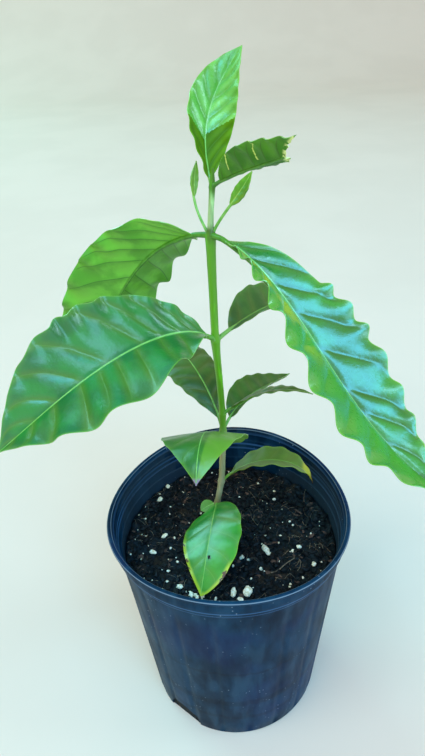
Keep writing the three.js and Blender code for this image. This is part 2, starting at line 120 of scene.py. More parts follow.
def draw_up(name, sides, rings):
    """A closed body: a disc at the first (radius, height), extruded through the others."""
    radius, height = rings[0]
    bpy.ops.mesh.primitive_circle_add(
        vertices=sides, radius=radius, fill_type="NGON", location=(0, 0, 0)
    )
    piece = bpy.context.object
    piece.name = name
    bpy.ops.object.mode_set(mode="EDIT")
    bpy.ops.mesh.select_all(action="SELECT")
    bpy.ops.transform.translate(value=(0, 0, height))
    for wider, higher in rings[1:]:
        step = (0, 0, higher - height)
        bpy.ops.mesh.extrude_region_move(TRANSFORM_OT_translate={"value": step})
        share = wider / radius
        bpy.ops.transform.resize(value=(share, share, 1), center_override=(0, 0, 0))
        radius, height = wider, higher
    bpy.ops.mesh.select_all(action="SELECT")
    bpy.ops.mesh.normals_make_consistent(inside=False)
    bpy.ops.object.mode_set(mode="OBJECT")
    return piece


def points_of(piece):
    flat = np.empty(len(piece.data.vertices) * 3)
    piece.data.vertices.foreach_get("co", flat)
    return flat.reshape(-1, 3)


def move_points(piece, points):
    piece.data.vertices.foreach_set("co", points.astype(np.float32).ravel())
    piece.data.update()


def apply_modifier(piece, kind, **settings):
    bpy.context.view_layer.objects.active = piece
    modifier = piece.modifiers.new(kind.lower(), kind)
    for key, value in settings.items():
        setattr(modifier, key, value)
    bpy.ops.object.modifier_apply(modifier=modifier.name)


def select_only(piece):
    bpy.ops.object.select_all(action="DESELECT")
    piece.select_set(True)
    bpy.context.view_layer.objects.active = piece


def tone(red, green, blue):
    """A colour given as on a screen, 0 to 255, in the linear values that a shader takes."""
    linear = []
    for v in (red, green, blue):
        linear.append(v / 255 / 12.92 if v < 11 else ((v / 255 + 0.055) / 1.055) ** 2.4)
    return (*linear, 1)


def feed(tree, node, inputs):
    """Gives a node its inputs: one that comes as a socket is linked, and any other is set."""
    for key, value in inputs.items():
        if isinstance(value, bpy.types.NodeSocket):
            tree.links.new(value, node.inputs[key])
        else:
            node.inputs[key].default_value = value


def add_node(tree, kind, inputs, **settings):
    made = tree.nodes.new("ShaderNode" + kind)
    for key, value in settings.items():
        setattr(made, key, value)
    feed(tree, made, inputs)
    return made


def math_of(tree, operation, first, second=0.0):
    return add_node(tree, "Math", {0: first, 1: second}, operation=operation).outputs[0]


def times(tree, first, *others):
    for other in others:
        first = math_of(tree, "MULTIPLY", first, other)
    return first


def times_plus(tree, first, second, third):
    """First times second, plus third."""
    inputs = {0: first, 1: second, 2: third}
    return add_node(tree, "Math", inputs, operation="MULTIPLY_ADD").outputs[0]


def spread(tree, value, low, high, start=0.0, end=1.0):
    """Spreads a value that goes from start to end over low to high."""
    inputs = {"Value": value, "From Min": start, "From Max": end, "To Min": low, "To Max": high}
    return add_node(tree, "MapRange", inputs).outputs["Result"]


def relief_of(tree, height, strength, depth):
    """The fine relief of a surface, from a pattern that gives its height."""
    inputs = {"Height": height, "Strength": strength, "Distance": depth}
    return add_node(tree, "Bump", inputs).outputs["Normal"]


def fade(tree, value, start, end):
    """1 where value is at start or short of it, down to 0 at end."""
    inputs = {"Value": value, "From Min": start, "From Max": end, "To Min": 1.0, "To Max": 0.0}
    made = add_node(tree, "MapRange", inputs, interpolation_type="SMOOTHSTEP")
    return made.outputs["Result"]


def mix_colours(tree, share, first, second):
    return add_node(tree, "Mix", {0: share, 6: first, 7: second}, data_type="RGBA").outputs[2]


def place_of(tree):
    return add_node(tree, "TexCoord", {}).outputs["Object"]


def height_of(tree):
    return add_node(tree, "SeparateXYZ", {"Vector": place_of(tree)}).outputs["Z"]


def mottle(tree, scale, detail, stretch=(1, 1, 1)):
    """Noise on the object's own coordinates, from 0 to 1."""
    scaled = add_node(tree, "Mapping", {"Vector": place_of(tree), "Scale": stretch})
    inputs = {"Vector": scaled.outputs["Vector"], "Scale": scale, "Detail": detail}
    return add_node(tree, "TexNoise", inputs).outputs["Fac"]


def new_finish(name):
    material = bpy.data.materials.new(name)
    material.use_nodes = True
    return material, material.node_tree, material.node_tree.nodes["Principled BSDF"]


def noted(tree, name):
    return add_node(tree, "Attribute", {}, attribute_name=name).outputs["Fac"]


# Height, half width, depth and colour of the paler rings at the lip and collar: partly plastic worn
# pale by handling, partly painted highlight
WEAR_AND_HIGHLIGHT_RINGS = (
    (0.1743, 0.00035, 0.6, (140, 156, 168)),
    (0.1716, 0.0010, 0.3, (46, 82, 120)),
    (0.1624, 0.0011, 0.75, (58, 102, 146)),
    (0.1587, 0.0007, 0.5, (52, 92, 134)),
)
# Height, half width and depth of the faint dark bands round the wall
DARK_BANDS = ((0.0910, 0.0018, 0.25), (0.0505, 0.0050, 0.3), (0.0285, 0.0030, 0.25))
DUST_PER_METRE = 420.0


def ring_round(tree, height, level, reach, depth):
    """The share of a ring round the pot: depth at its level, fading to nothing at reach."""
    off = math_of(tree, "ABSOLUTE", math_of(tree, "SUBTRACT", height, level))
    return times(tree, fade(tree, off, reach * 0.4, reach), depth)


def nursery_plastic():
    """Thin black plastic painted blue as a sky sheen, with fine scuffs, faint level bands and dust.
    """
    material, tree, shader = new_finish("nursery plastic")
    cloudy = mottle(tree, 30, 6, (1, 1, 0.8))
    streaks = mottle(tree, 90, 4, (1, 1, 0.07))
    smears = mottle(tree, 120, 5, (1, 1, 0.3))
    violet = mottle(tree, 16, 2)
    # The body's blue is a painted sky sheen on the black plastic, set in its base colour
    colour = mix_colours(tree, fade(tree, cloudy, 0.36, 0.64), tone(12, 52, 78), tone(5, 34, 54))
    for pattern, full, none, depth, shade in (
        (smears, 0.34, 0.48, 0.3, (34, 74, 98)),
        (smears, 0.66, 0.52, 0.4, (2, 18, 32)),
        (violet, 0.66, 0.5, 0.35, (20, 38, 84)),
        (streaks, 0.34, 0.44, 0.35, (30, 68, 92)),
    ):
        share = times(tree, fade(tree, pattern, full, none), depth)
        colour = mix_colours(tree, share, colour, tone(*shade))
    height = height_of(tree)
    wavering = times_plus(tree, cloudy, 0.006, height)
    for level, reach, depth in DARK_BANDS:
        band = ring_round(tree, wavering, level, reach, depth)
        colour = mix_colours(tree, band, colour, tone(6, 10, 18))
    cells = add_node(tree, "TexVoronoi", {"Vector": place_of(tree), "Scale": DUST_PER_METRE})
    picked = add_node(tree, "SeparateColor", {"Color": cells.outputs["Color"]}).outputs[0]
    grain = fade(tree, cells.outputs["Distance"], 0.10, 0.26)
    patch = fade(tree, mottle(tree, 26, 2), 0.56, 0.44)
    dust = times(tree, grain, fade(tree, picked, 0.12, 0.2), patch, 0.8)
    colour = mix_colours(tree, dust, colour, tone(128, 146, 162))
    # Paler rings at the lip and collar: wear, and painted highlight
    for level, reach, depth, shade in WEAR_AND_HIGHLIGHT_RINGS:
        ring = ring_round(tree, height, level, reach, depth)
        colour = mix_colours(tree, ring, colour, tone(*shade))
    # The inside of the wall is painted paler: partly dust, partly painted light on the shaded inner
    # wall
    inside = times(tree, noted(tree, "inside"), 0.6)
    feed(tree, shader, {
        "Base Color": mix_colours(tree, inside, colour, tone(44, 60, 70)),
        "Roughness": spread(tree, smears, 0.3, 0.6),
        "Normal": relief_of(tree, streaks, 0.15, 0.0004),
        "Specular IOR Level": 0.08,
    })
    return material


def pot_rings():
    """The pot's section: up the outside, over the lip, down the ledges and in to the floor."""
    rings = [(FOOT_RADIUS + out, z) for out, z in FOOT_ROUND]
    rings += [(wall_radius(z), z) for z in WALL_LEVELS]
    rings += [(wall_radius(z) + out, z) for out, z in BEAD]
    rings += [(COLLAR_RADIUS + out, z) for out, z in COLLAR]
    for degrees in LIP_TURNS:
        turn = math.radians(degrees)
        wide = LIP_ROUND if degrees < 90 else LIP_INNER_ROUND
        across, up = wide * math.cos(turn), LIP_ROUND * math.sin(turn)
        rings.append((LIP_CENTRE[0] + across, LIP_CENTRE[1] + up))
    rings += [(radius + out, z + up) for radius, z in LEDGES for out, up in LEDGE_STEPS]
    rings += [(wall_radius(z) - WALL, z) for z in INNER_LEVELS]
    rings.append((wall_radius(POT_FLOOR) - WALL - 0.001, POT_FLOOR))
    return rings


def lying_round(heading, start, length, half_height, half_width):
    """A round lying on the ground line, along a heading, from start to start + length."""
    turn = math.radians(heading)
    middle = start + length / 2
    bpy.ops.mesh.primitive_cylinder_add(
        vertices=48,
        radius=1,
        depth=length,
        location=(middle * math.cos(turn), middle * math.sin(turn), 0),
        rotation=(0, math.pi / 2, turn),
    )
    made = bpy.context.object
    made.scale = (half_height, half_width, 1)
    bpy.ops.object.transform_apply(location=True, rotation=True, scale=True)
    return made


pot = draw_up("nursery_pot", POT_SIDES, pot_rings())
points = points_of(pot)
angle = np.arctan2(points[:, 1], points[:, 0])
radius = np.hypot(points[:, 0], points[:, 1])
pitch = 2 * math.pi / PANELS
off_groove = np.abs((angle - PANEL_TURN + pitch / 2) % pitch - pitch / 2) * radius
outside = (radius > wall_radius(points[:, 2]) - WALL / 2) & (points[:, 2] > 0.0015)
panelled = outside * np.clip((PANEL_TOP - points[:, 2]) / PANEL_FADE, 0, 1)
sunk = PANEL_GROOVE * np.exp(-((off_groove / PANEL_GROOVE_WIDTH) ** 2)) * panelled
share = (radius - sunk) / radius * out_of_round(angle, points[:, 2])
points[:, :2] *= share[:, None]
move_points(pot, points)
for heading in NOTCH_HEADINGS:
    start, length = FOOT_RADIUS - NOTCH_DEPTH, NOTCH_DEPTH + NOTCH_OVERCUT
    cutter = lying_round(heading, start, length, NOTCH_HEIGHT, NOTCH_HALF_WIDTH)
    select_only(pot)
    apply_modifier(pot, "BOOLEAN", operation="DIFFERENCE", solver="EXACT", object=cutter)
    bpy.data.objects.remove(cutter)
points = points_of(pot)
radius = np.hypot(points[:, 0], points[:, 1])
# Marks the inside of the wall, which the finish paints paler: partly dust, partly painted light
paler_inside = radius < wall_radius(points[:, 2]) - WALL * 0.8
paler_inside &= (points[:, 2] > POT_FLOOR / 2) & (points[:, 2] < INSIDE_TOP)
marked = pot.data.attributes.new("inside", "FLOAT", "POINT")
marked.data.foreach_set("value", paler_inside.astype(np.float32))
select_only(pot)
bpy.ops.object.shade_smooth_by_angle(angle=math.radians(40))
pot.data.materials.append(nursery_plastic())
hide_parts("pot")
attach(pot, "root")


# Potting mix
# Moist peat and composted bark that fills the pot to 33 mm under the lip. It is one body with a
# crumbled top, and loose crumbs, bark, fibres and white perlite lie on it.
SOIL_TOP = 0.142
SOIL_SHOULDER = 0.1405
SOIL_LEVELS = (0.0026, 0.06, 0.12)
SOIL_GAP = 0.0004
SOIL_SIDES = 220
PLUG_LENGTH = 0.008
PLUG_GAP = 0.0007
PLUG_SPREAD = 0.0006
PLUG_FOOT = 0.0004
# Height and width, in mm, of the lumps that the top is crumbled into
LUMPS = ((1.6, 16), (2.2, 6.5), (1.4, 2.8))
CRUMB_LUMPS = (0.7, 1.5)
STEM_CLEAR = (0.004, 0.012)
STEM_Y = 0.0255
STEM_FOOT = (-0.009, STEM_Y)
STEM_SPACE = 0.009
SCATTER_REACH = 0.965


def soil_height(x, y):
    """Height of the crumbled surface, which is calm where the stem stands."""
    spot = Vector((x * 1000, y * 1000, 3.7))
    lumps = sum(high * noise.noise(spot / wide) for high, wide in LUMPS)
    crumbs = CRUMB_LUMPS[0] * abs(noise.noise(spot / CRUMB_LUMPS[1]))
    away = math.hypot(x - STEM_FOOT[0], y - STEM_FOOT[1])
    calm = min(1, max(0, (away - STEM_CLEAR[0]) / STEM_CLEAR[1]))
    return SOIL_TOP + 0.001 * (calm * lumps + crumbs)


def peat():
    """Near-black moist peat, browner where it has dried, tinted blue as a painted sky sheen."""
    material, tree, shader = new_finish("peat")
    fine = mottle(tree, 380, 6)
    patchy = mottle(tree, 70, 4)
    # The blue in the peat's colours is a painted sky sheen on the wet peat
    body = mix_colours(tree, fade(tree, fine, 0.42, 0.6), tone(22, 32, 38), tone(4, 9, 12))
    dried = fade(tree, patchy, 0.34, 0.44)
    feed(tree, shader, {
        "Base Color": mix_colours(tree, dried, body, tone(38, 32, 26)),
        "Roughness": spread(tree, fine, 0.55, 0.95),
        "Normal": relief_of(tree, fine, 1.0, 0.0014),
        "Specular IOR Level": 0.2,
    })
    return material


edge = wall_radius(SOIL_SHOULDER) - WALL - SOIL_GAP
soil_rings = [(wall_radius(z) - WALL - SOIL_GAP, z) for z in (*SOIL_LEVELS, SOIL_SHOULDER)]
soil_rings += [(edge * share, SOIL_TOP) for share in np.linspace(0.985, 0.02, 56)]
soil = draw_up("peat_fill", SOIL_SIDES, soil_rings)
points = points_of(soil)
angle = np.arctan2(points[:, 1], points[:, 0])
points[:, :2] *= out_of_round(angle, points[:, 2])[:, None]
surface = points[:, 2] > SOIL_TOP - 0.0001
points[surface, 2] = [soil_height(x, y) for x, y, _ in points[surface]]
move_points(soil, points)
bpy.ops.object.shade_smooth()
# The mix fills the drain notches down to the ground: partly settled soil, partly a dark fill that
# stands in for the shade inside the notches
for heading in NOTCH_HEADINGS:
    start = FOOT_RADIUS - WALL - PLUG_GAP - PLUG_LENGTH
    bpy.ops.object.select_all(action="DESELECT")
    plug_size = (NOTCH_HEIGHT + PLUG_SPREAD, NOTCH_HALF_WIDTH + PLUG_SPREAD)
    lying_round(heading, start, PLUG_LENGTH, *plug_size)
    bpy.ops.object.mode_set(mode="EDIT")
    bpy.ops.mesh.select_all(action="SELECT")
    bpy.ops.mesh.bisect(
        plane_co=(0, 0, PLUG_FOOT), plane_no=(0, 0, 1), use_fill=True, clear_inner=True
    )
    bpy.ops.object.mode_set(mode="OBJECT")
    soil.select_set(True)
    bpy.context.view_layer.objects.active = soil
    bpy.ops.object.join()
soil.data.materials.append(peat())
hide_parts("potting_soil")
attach(soil, "root")


def ico_shape(subdivisions):
    bpy.ops.mesh.primitive_ico_sphere_add(
        subdivisions=subdivisions, radius=0.5, location=(0, 0, 0)
    )
    lump = bpy.context.object
    points = points_of(lump)
    faces = np.array([tuple(face.vertices) for face in lump.data.polygons])
    bpy.data.objects.remove(lump)
    return points, faces


def joined_piece(name, points, faces):
    mesh = bpy.data.meshes.new(name)
    mesh.from_pydata(points, [], faces)
    piece = bpy.data.objects.new(name, mesh)
    bpy.context.scene.collection.objects.link(piece)
    return piece


def scatter(name, subdivisions, grains, dents, rng):
    """One joined mesh of dented lumps. A grain is (x, y, size, stretch, flatness, sink)."""
    shape, faces = ico_shape(subdivisions)
    all_points, all_faces = [], []
    for x, y, size, stretch, flatness, sink in grains:
        lump = shape * (1 + dents * (rng.random((len(shape), 1)) - 0.5))
        lump = lump * (size * stretch, size, size * flatness)
        turn = Matrix.Rotation(rng.uniform(0, 2 * math.pi), 3, "Z")
        tip = Matrix.Rotation(rng.uniform(-0.5, 0.5), 3, "X")
        lump = lump @ np.array(turn @ tip).T
        lump += (x, y, soil_height(x, y) + size * flatness * (0.5 - sink))
        all_faces.append(faces + len(shape) * len(all_points))
        all_points.append(lump)
    points, faces = np.concatenate(all_points), np.concatenate(all_faces)
    return joined_piece(name, points.tolist(), faces.tolist())


def soil_spot(rng):
    """A place on the soil, even over its round, off the stem's foot."""
    while True:
        reach = edge * SCATTER_REACH * math.sqrt(rng.random())
        heading = rng.uniform(0, 2 * math.pi)
        x, y = reach * math.cos(heading), reach * math.sin(heading)
        if math.hypot(x - STEM_FOOT[0], y - STEM_FOOT[1]) > STEM_SPACE:
            return x, y


def plain_finish(name, colour, other, scale, roughness, bump, shine=0.5):
    """A finish of two clouded colours, with one roughness and a fine relief."""
    material, tree, shader = new_finish(name)
    patchy = mottle(tree, scale, 4)
    feed(tree, shader, {
        "Base Color": mix_colours(tree, fade(tree, patchy, 0.6, 0.4), tone(*colour), tone(*other)),
        "Roughness": roughness,
        "Normal": relief_of(tree, patchy, bump, 0.0006),
        "Specular IOR Level": shine,
    })
    return material


# Crumbs of peat and chips of bark
CRUMBS = 2200
BARK_CHIPS = 150
crumb_finish = plain_finish("peat crumbs", (2, 5, 8), (14, 17, 20), 300, 0.55, 0.7, 0.25)
bark_finish = plain_finish("bark", (40, 30, 26), (92, 66, 54), 300, 0.85, 0.6)
rng = np.random.default_rng(11)
crumbs = []
for _ in range(CRUMBS):
    size = 0.0008 + 0.0038 * rng.random() ** 2.4
    crumbs.append((*soil_spot(rng), size, rng.uniform(1, 1.9), rng.uniform(0.5, 0.9), 0.3))
peat_crumbs = scatter("peat_crumbs", 1, crumbs, 0.5, rng)
peat_crumbs.data.materials.append(crumb_finish)
chips = []
for _ in range(BARK_CHIPS):
    size = rng.uniform(0.0016, 0.0036)
    chips.append((*soil_spot(rng), size, rng.uniform(1.3, 2.8), rng.uniform(0.25, 0.5), 0.2))
bark_chips = scatter("bark_chips", 1, chips, 0.5, rng)
bark_chips.data.materials.append(bark_finish)

# Perlite: the largest grains, as (x, y, size, stretch), lie where the real ones do, and the small
# ones anywhere, most of them at the front
LARGE_GRAINS = (
    (0.0242, -0.0144, 0.0042, 2.4),
    (0.0088, -0.0505, 0.0062, 1.2),
    (-0.0005, -0.0490, 0.0040, 1.9),
    (0.0040, -0.0545, 0.0036, 1.3),
    (0.0071, -0.0203, 0.0034, 1.2),
    (0.0474, -0.0134, 0.0034, 1.2),
    (0.0192, -0.0305, 0.0024, 1.2),
    (-0.0520, 0.0403, 0.0040, 1.4),
    (-0.0462, 0.0535, 0.0034, 1.2),
    (-0.0546, -0.0107, 0.0034, 1.6),
    (-0.0467, 0.0025, 0.0030, 1.8),
    (-0.0435, -0.0279, 0.0030, 1.2),
    (0.0362, 0.0412, 0.0026, 1.1),
    (0.0355, 0.0347, 0.0026, 1.1),
    (0.0081, 0.0043, 0.0026, 1.1),
    (0.0550, -0.0295, 0.0032, 1.2),
    (0.0425, -0.0183, 0.0024, 1.1),
    (-0.0352, -0.0430, 0.0034, 1.3),
    (-0.0280, -0.0480, 0.0038, 1.3),
)
SMALL_GRAINS = 150
FRONT_GRAINS = 60
FRONT_HEADING = math.radians(-105)
FRONT_SPREAD = math.radians(38) / 2
grains = [(x, y, size, stretch, 0.75, 0.15) for x, y, size, stretch in LARGE_GRAINS]
for _ in range(SMALL_GRAINS):
    size = 0.0007 + 0.0012 * rng.random() ** 2
    grains.append((*soil_spot(rng), size, rng.uniform(1, 1.5), rng.uniform(0.7, 1), 0.2))
for _ in range(FRONT_GRAINS):
    size = 0.0009 + 0.0017 * rng.random() ** 2
    heading = rng.normal(FRONT_HEADING, FRONT_SPREAD)
    reach = edge * rng.uniform(0.72, 0.97)
    x, y = reach * math.cos(heading), reach * math.sin(heading)
    grains.append((x, y, size, rng.uniform(1, 1.5), rng.uniform(0.7, 1), 0.1))
perlite = scatter("perlite_grains", 2, grains, 0.35, rng)
white = plain_finish("perlite", (255, 250, 228), (228, 214, 176), 600, 0.85, 0.4)
perlite.data.materials.append(white)


FIBRE_STEPS = 8
FIBRE_SIDES = 4


def fibre_mesh(name, fibres):
    """Thin bent fibres, each a tapering tube along an arc, joined in one mesh."""
    all_points, all_faces = [], []
    for x, y, heading, length, thick, bend, hump in fibres:
        start = len(all_points)
        spine = []
        for k in range(FIBRE_STEPS + 1):
            share = k / FIBRE_STEPS
            turn = heading + bend * share
            reach = length * (share - 0.5)
            px = x + reach * math.cos(turn)
            py = y + reach * math.sin(turn)
            inside = min(1, edge * 0.985 / max(1e-6, math.hypot(px, py)))
            px, py = px * inside, py * inside
            lift = hump * math.sin(math.pi * share) + thick * 0.6
            spine.append(Vector((px, py, soil_height(px, py) + lift)))
        for k, spot in enumerate(spine):
            ahead = (spine[min(k + 1, FIBRE_STEPS)] - spine[max(k - 1, 0)]).normalized()
            side = ahead.cross(Vector((0, 0, 1))).normalized()
            lift = side.cross(ahead)
            girth = thick / 2 * (1 - 0.6 * k / FIBRE_STEPS)
            for j in range(FIBRE_SIDES):
                turn = 2 * math.pi * j / FIBRE_SIDES
                around = math.cos(turn) * side + math.sin(turn) * lift
                all_points.append(tuple(spot + girth * around))
        for k in range(FIBRE_STEPS):
            row = start + k * FIBRE_SIDES
            for j in range(FIBRE_SIDES):
                low, after = row + j, row + (j + 1) % FIBRE_SIDES
                all_faces.append((low, after, after + FIBRE_SIDES, low + FIBRE_SIDES))
        all_faces.append(tuple(start + j for j in reversed(range(FIBRE_SIDES))))
        all_faces.append(tuple(start + FIBRE_STEPS * FIBRE_SIDES + j for j in range(FIBRE_SIDES)))
    return joined_piece(name, all_points, all_faces)


# Peat fibres and the one long twig at the right
FIBRES = 380
LONG_TWIG = (0.037, -0.0285, math.radians(28), 0.026, 0.0011, 0.15, 0.001)
fibres = [LONG_TWIG]
for _ in range(FIBRES):
    length = rng.uniform(0.004, 0.014)
    bend = rng.uniform(-1.2, 1.2)
    thick = rng.uniform(0.00018, 0.00045)
    spot, heading, hump = soil_spot(rng), rng.uniform(0, 6.28), rng.uniform(0, 0.0014)
    fibres.append((*spot, heading, length, thick, bend, hump))
peat_fibres = fibre_mesh("peat_fibres", fibres)
fibre_finish = plain_finish("fibres", (54, 44, 36), (136, 116, 92), 120, 0.8, 0.2)
peat_fibres.data.materials.append(fibre_finish)
for piece in (peat_crumbs, bark_chips, perlite, peat_fibres):
    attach(piece, "root")


# Stem
# One upright stem, woody and grey-tan up to the lower leaves and green above, with a swollen
# node where each pair of leaves leaves it. It tapers to a small bud between the top pair.
STEM_SIDES = 28
STEM_STEP = 0.0009
# Height, sideways place and radius of the stem, as (z, x, r)
STEM = (
    (SOIL_TOP + 0.0003, -0.0090, 0.0036),
    (0.1450, -0.0087, 0.0026),
    (0.1500, -0.0081, 0.0027),
    (0.1550, -0.0070, 0.0021),
    (0.1660, -0.0049, 0.0021),
    (0.1717, -0.0039, 0.0026),
    (0.1770, -0.0034, 0.0021),
    (0.1980, -0.0021, 0.0021),
    (0.2060, -0.0017, 0.0025),
    (0.2115, -0.0014, 0.0022),
    (0.2171, -0.0012, 0.0026),
    (0.2240, -0.0011, 0.0021),
    (0.2315, -0.0010, 0.0025),
    (0.2390, -0.0012, 0.0021),
    (0.2620, -0.0021, 0.0022),
    (0.2790, -0.0030, 0.0025),
    (0.2876, -0.0033, 0.0030),
    (0.2940, -0.0034, 0.0024),
    (0.3250, -0.0034, 0.0025),
    (0.3460, -0.0033, 0.0028),
    (0.3552, -0.0032, 0.0032),
    (0.3600, -0.0030, 0.0018),
    (0.3700, -0.0022, 0.0016),
    (0.3790, -0.0013, 0.0017),
    (0.3830, -0.0010, 0.0018),
    (0.3880, -0.0006, 0.0011),
    (0.3920, -0.0002, 0.0004),
)
NODES = (0.1500, 0.1717, 0.2060, 0.2171, 0.2315, 0.2876, 0.3552, 0.3818)
WOODY_TOP = 0.214
WOODY_FADE = 0.012
BARK_LUMP = 0.00022
BARK_GRAIN = 0.00012
GREEN_LUMP = 0.00006
NODE_RING = 0.00022
NODE_RING_HEIGHT = 0.0006
# The stem's colours, each at a share of the way from 156 mm to 406 mm up
STEM_COLOURS = (
    (0.00, (140, 130, 96)),
    (0.05, (206, 208, 168)),
    (0.23, (200, 212, 150)),
    (0.29, (130, 206, 44)),
    (0.56, (116, 218, 20)),
    (0.80, (98, 196, 20)),
    (0.835, (46, 112, 30)),
    # The pale length under the top pair is a painted highlight
    (0.852, (196, 240, 164)),
    (0.885, (190, 236, 156)),
    (0.915, (74, 146, 22)),
)


def stem_at(height):
    """Sideways place and radius of the stem at a height."""
    heights, places, girths = np.array(STEM).T
    return np.interp(height, heights, places), np.interp(height, heights, girths)


def stem_skin():
    """Tan bark low down, green above, with a pale length under the top pair that is a painted
    highlight, and darker nodes.
    """
    material, tree, shader = new_finish("stem skin")
    height = height_of(tree)
    along = mottle(tree, 260, 4, (1, 1, 0.14))
    wavering = times_plus(tree, along, 0.012, height)
    ramp = add_node(tree, "ValToRGB", {"Fac": spread(tree, wavering, 0.0, 1.0, 0.156, 0.406)})
    bands = ramp.color_ramp.elements
    while len(bands) < len(STEM_COLOURS):
        bands.new(0.5)
    for band, (spot, colour) in zip(bands, STEM_COLOURS):
        band.position = spot
        band.color = tone(*colour)
    brown = times(tree, fade(tree, along, 0.42, 0.3), 0.45)
    feed(tree, shader, {
        "Base Color": mix_colours(tree, brown, ramp.outputs["Color"], tone(84, 84, 36)),
        "Roughness": spread(tree, height, 0.8, 0.36, 0.2, 0.24),
        "Normal": relief_of(tree, along, 0.35, 0.0004),
    })
    return material


stem_heights = np.arange(STEM[0][0], STEM[-1][0], STEM_STEP)
stem = draw_up("stem_with_bark", STEM_SIDES, [(stem_at(z)[1], z) for z in stem_heights])
points = points_of(stem)
angle = np.arctan2(points[:, 1], points[:, 0])
for k, (z, turn) in enumerate(zip(points[:, 2], angle)):
    place, girth = stem_at(z)
    spot = Vector((2.2 * math.cos(turn), 2.2 * math.sin(turn), z * 130))
    grain = Vector((spot.x * 2, spot.y * 2, z * 900))
    woody = min(1, max(0, (WOODY_TOP - z) / WOODY_FADE))
    bark = (BARK_LUMP * woody + GREEN_LUMP) * noise.noise(spot * 1.4)
    bark += BARK_GRAIN * woody * noise.noise(grain)
    ring = sum(math.exp(-(((z - node) / NODE_RING_HEIGHT) ** 2)) for node in NODES)
    grown = 1 + (bark + NODE_RING * ring) / girth
    points[k, 0] = points[k, 0] * grown + place
    points[k, 1] = points[k, 1] * grown + STEM_Y
move_points(stem, points)
bpy.ops.object.shade_smooth_by_angle(angle=math.radians(60))
stem.data.materials.append(stem_skin())
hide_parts("stem")
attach(stem, "root")


# Leaves of the foot: a broad waxy one that lies forward over the soil, and a small dull one
# beside it. A leaf is a thin folded blade, domed between its side veins, on a round stalk.
BLADE_THICKNESS = 0.00042
BLADE_GRAIN = 0.0008
TIP_HALF_WIDTH = 0.00035
BLADE_START = 0.08
RIB_LOSS = 0.75
STALK_SIDES = 12
STALK_GRAIN = 0.002
STALK_SINK = 0.00034
STALK_FLARE = 0.004
MIDRIB_STEPS = 96
MIDRIB_CREST = 0.4
STALK_END = 0.985
# The midrib lies this share of the quilt deep, in a groove
RIB_SINK = 0.4
GROOVE_HALF_WIDTH = 0.0014
VEIN_BEND = 0.15
DOME_POWER = 2.3
# Side veins run aslant, so they stand this many mm apart for a metre between their marks
PITCH_PER_METRE = 900
PITCH_STEP = 0.002


def leaf_of(**measures):
    """A leaf's measures, with those of a whole, even blade where none is given.

    The midrib leaves the stem at height and heading, and turns by turn. Its slope is rise at its
    start, arch at its crest and fall at its end. The blade rolls and twists about it, and each
    half is lifted by fold and curl. Angles are in degrees and sizes in metres. Shoulder and point
    give how full the outline is at its ends, which skew and lean set off from side to side. What
    comes in pairs is for the two sides: wave, scallop, sweep, veins and notches, the last three as
    shares of the length. Quilt is how high the blade swells between its veins, stalk the radius
    of the petiole, and gap the room for a leaf pressed against it. Cut, slant and rag give the
    line of a torn tip.
    """
    even = {"skew": 0, "lean": 0, "gap": 0, "cut": 1, "slant": 0, "rag": 0}
    return {**even, **measures}


def trace_midrib(leaf, share):
    """Place, direction, side and up of the midrib at each share of its way from the stem's axis."""
    whole = leaf["petiole"] + leaf["length"]

    def direction(s):
        to_crest, past_crest = MIDRIB_CREST, 1 - MIDRIB_CREST
        rise = leaf["rise"] * (s - to_crest) * (s - 1) / to_crest
        arch = leaf["arch"] * s * (1 - s) / (to_crest * past_crest)
        fall = leaf["fall"] * s * (s - to_crest) / past_crest
        slope = np.radians(rise + arch + fall)
        heading = np.radians(leaf["heading"] + leaf["turn"] * s)
        level = (np.cos(slope) * np.cos(heading), np.cos(slope) * np.sin(heading))
        return np.stack((*level, np.sin(slope)), -1)

    middles = (np.arange(MIDRIB_STEPS) + 0.5) / MIDRIB_STEPS
    walked = np.vstack([np.zeros(3), np.cumsum(direction(middles), 0) * whole / MIDRIB_STEPS])
    marks = np.linspace(0, 1, MIDRIB_STEPS + 1)
    place = np.stack([np.interp(share, marks, walked[:, k]) for k in range(3)], -1)
    place += (stem_at(leaf["height"])[0], STEM_Y, leaf["height"])
    along = direction(share)
    heading = np.radians(leaf["heading"] + leaf["turn"] * share)
    level = np.stack([-np.sin(heading), np.cos(heading), 0 * heading], -1)
    roll = np.radians(leaf["roll"] + leaf["twist"] * share)[:, None]
    side = level * np.cos(roll) + np.cross(along, level) * np.sin(roll)
    return place, along, side, np.cross(along, side)


def half_width(leaf, b, sign):
    """Half width of the blade at share b of its length, on the side of sign."""
    point = leaf["point"] + sign * leaf["lean"]
    widest = leaf["shoulder"] / (leaf["shoulder"] + point)
    b = np.clip(b, 1e-6, 1 - 1e-6)
    outline = (b / widest) ** leaf["shoulder"] * ((1 - b) / (1 - widest)) ** point
    return 0.5 * leaf["width"] * (1 + sign * leaf["skew"]) * outline


def rib_radius(leaf, b):
    return leaf["stalk"] * (1 - RIB_LOSS * np.clip(b, 0, 1) ** 0.7)


def blade_end(leaf, across):
    """Share of the length where the blade ends: 1, or the ragged line of a torn tip."""
    rag = np.array([noise.noise(Vector((7 * a, 2, 5))) for a in across])
    return leaf["cut"] - leaf["slant"] * across + leaf["rag"] * rag


def count_marks(b, marks):
    """How many of the marks are passed at b, with the part gone of the way to the next."""
    first, last = marks[1] - marks[0], marks[-1] - marks[-2]
    places = (marks[0] - 5 * first, *marks, marks[-1] + 5 * last)
    return np.interp(b, places, (-5, *range(len(marks)), len(marks) + 4))


def both_sides(count):
    """Marks spread evenly along a leaf, half a step later on one side than on the other."""
    return tuple(tuple((k + start) / count for k in range(count)) for start in (0.2, 0.7))


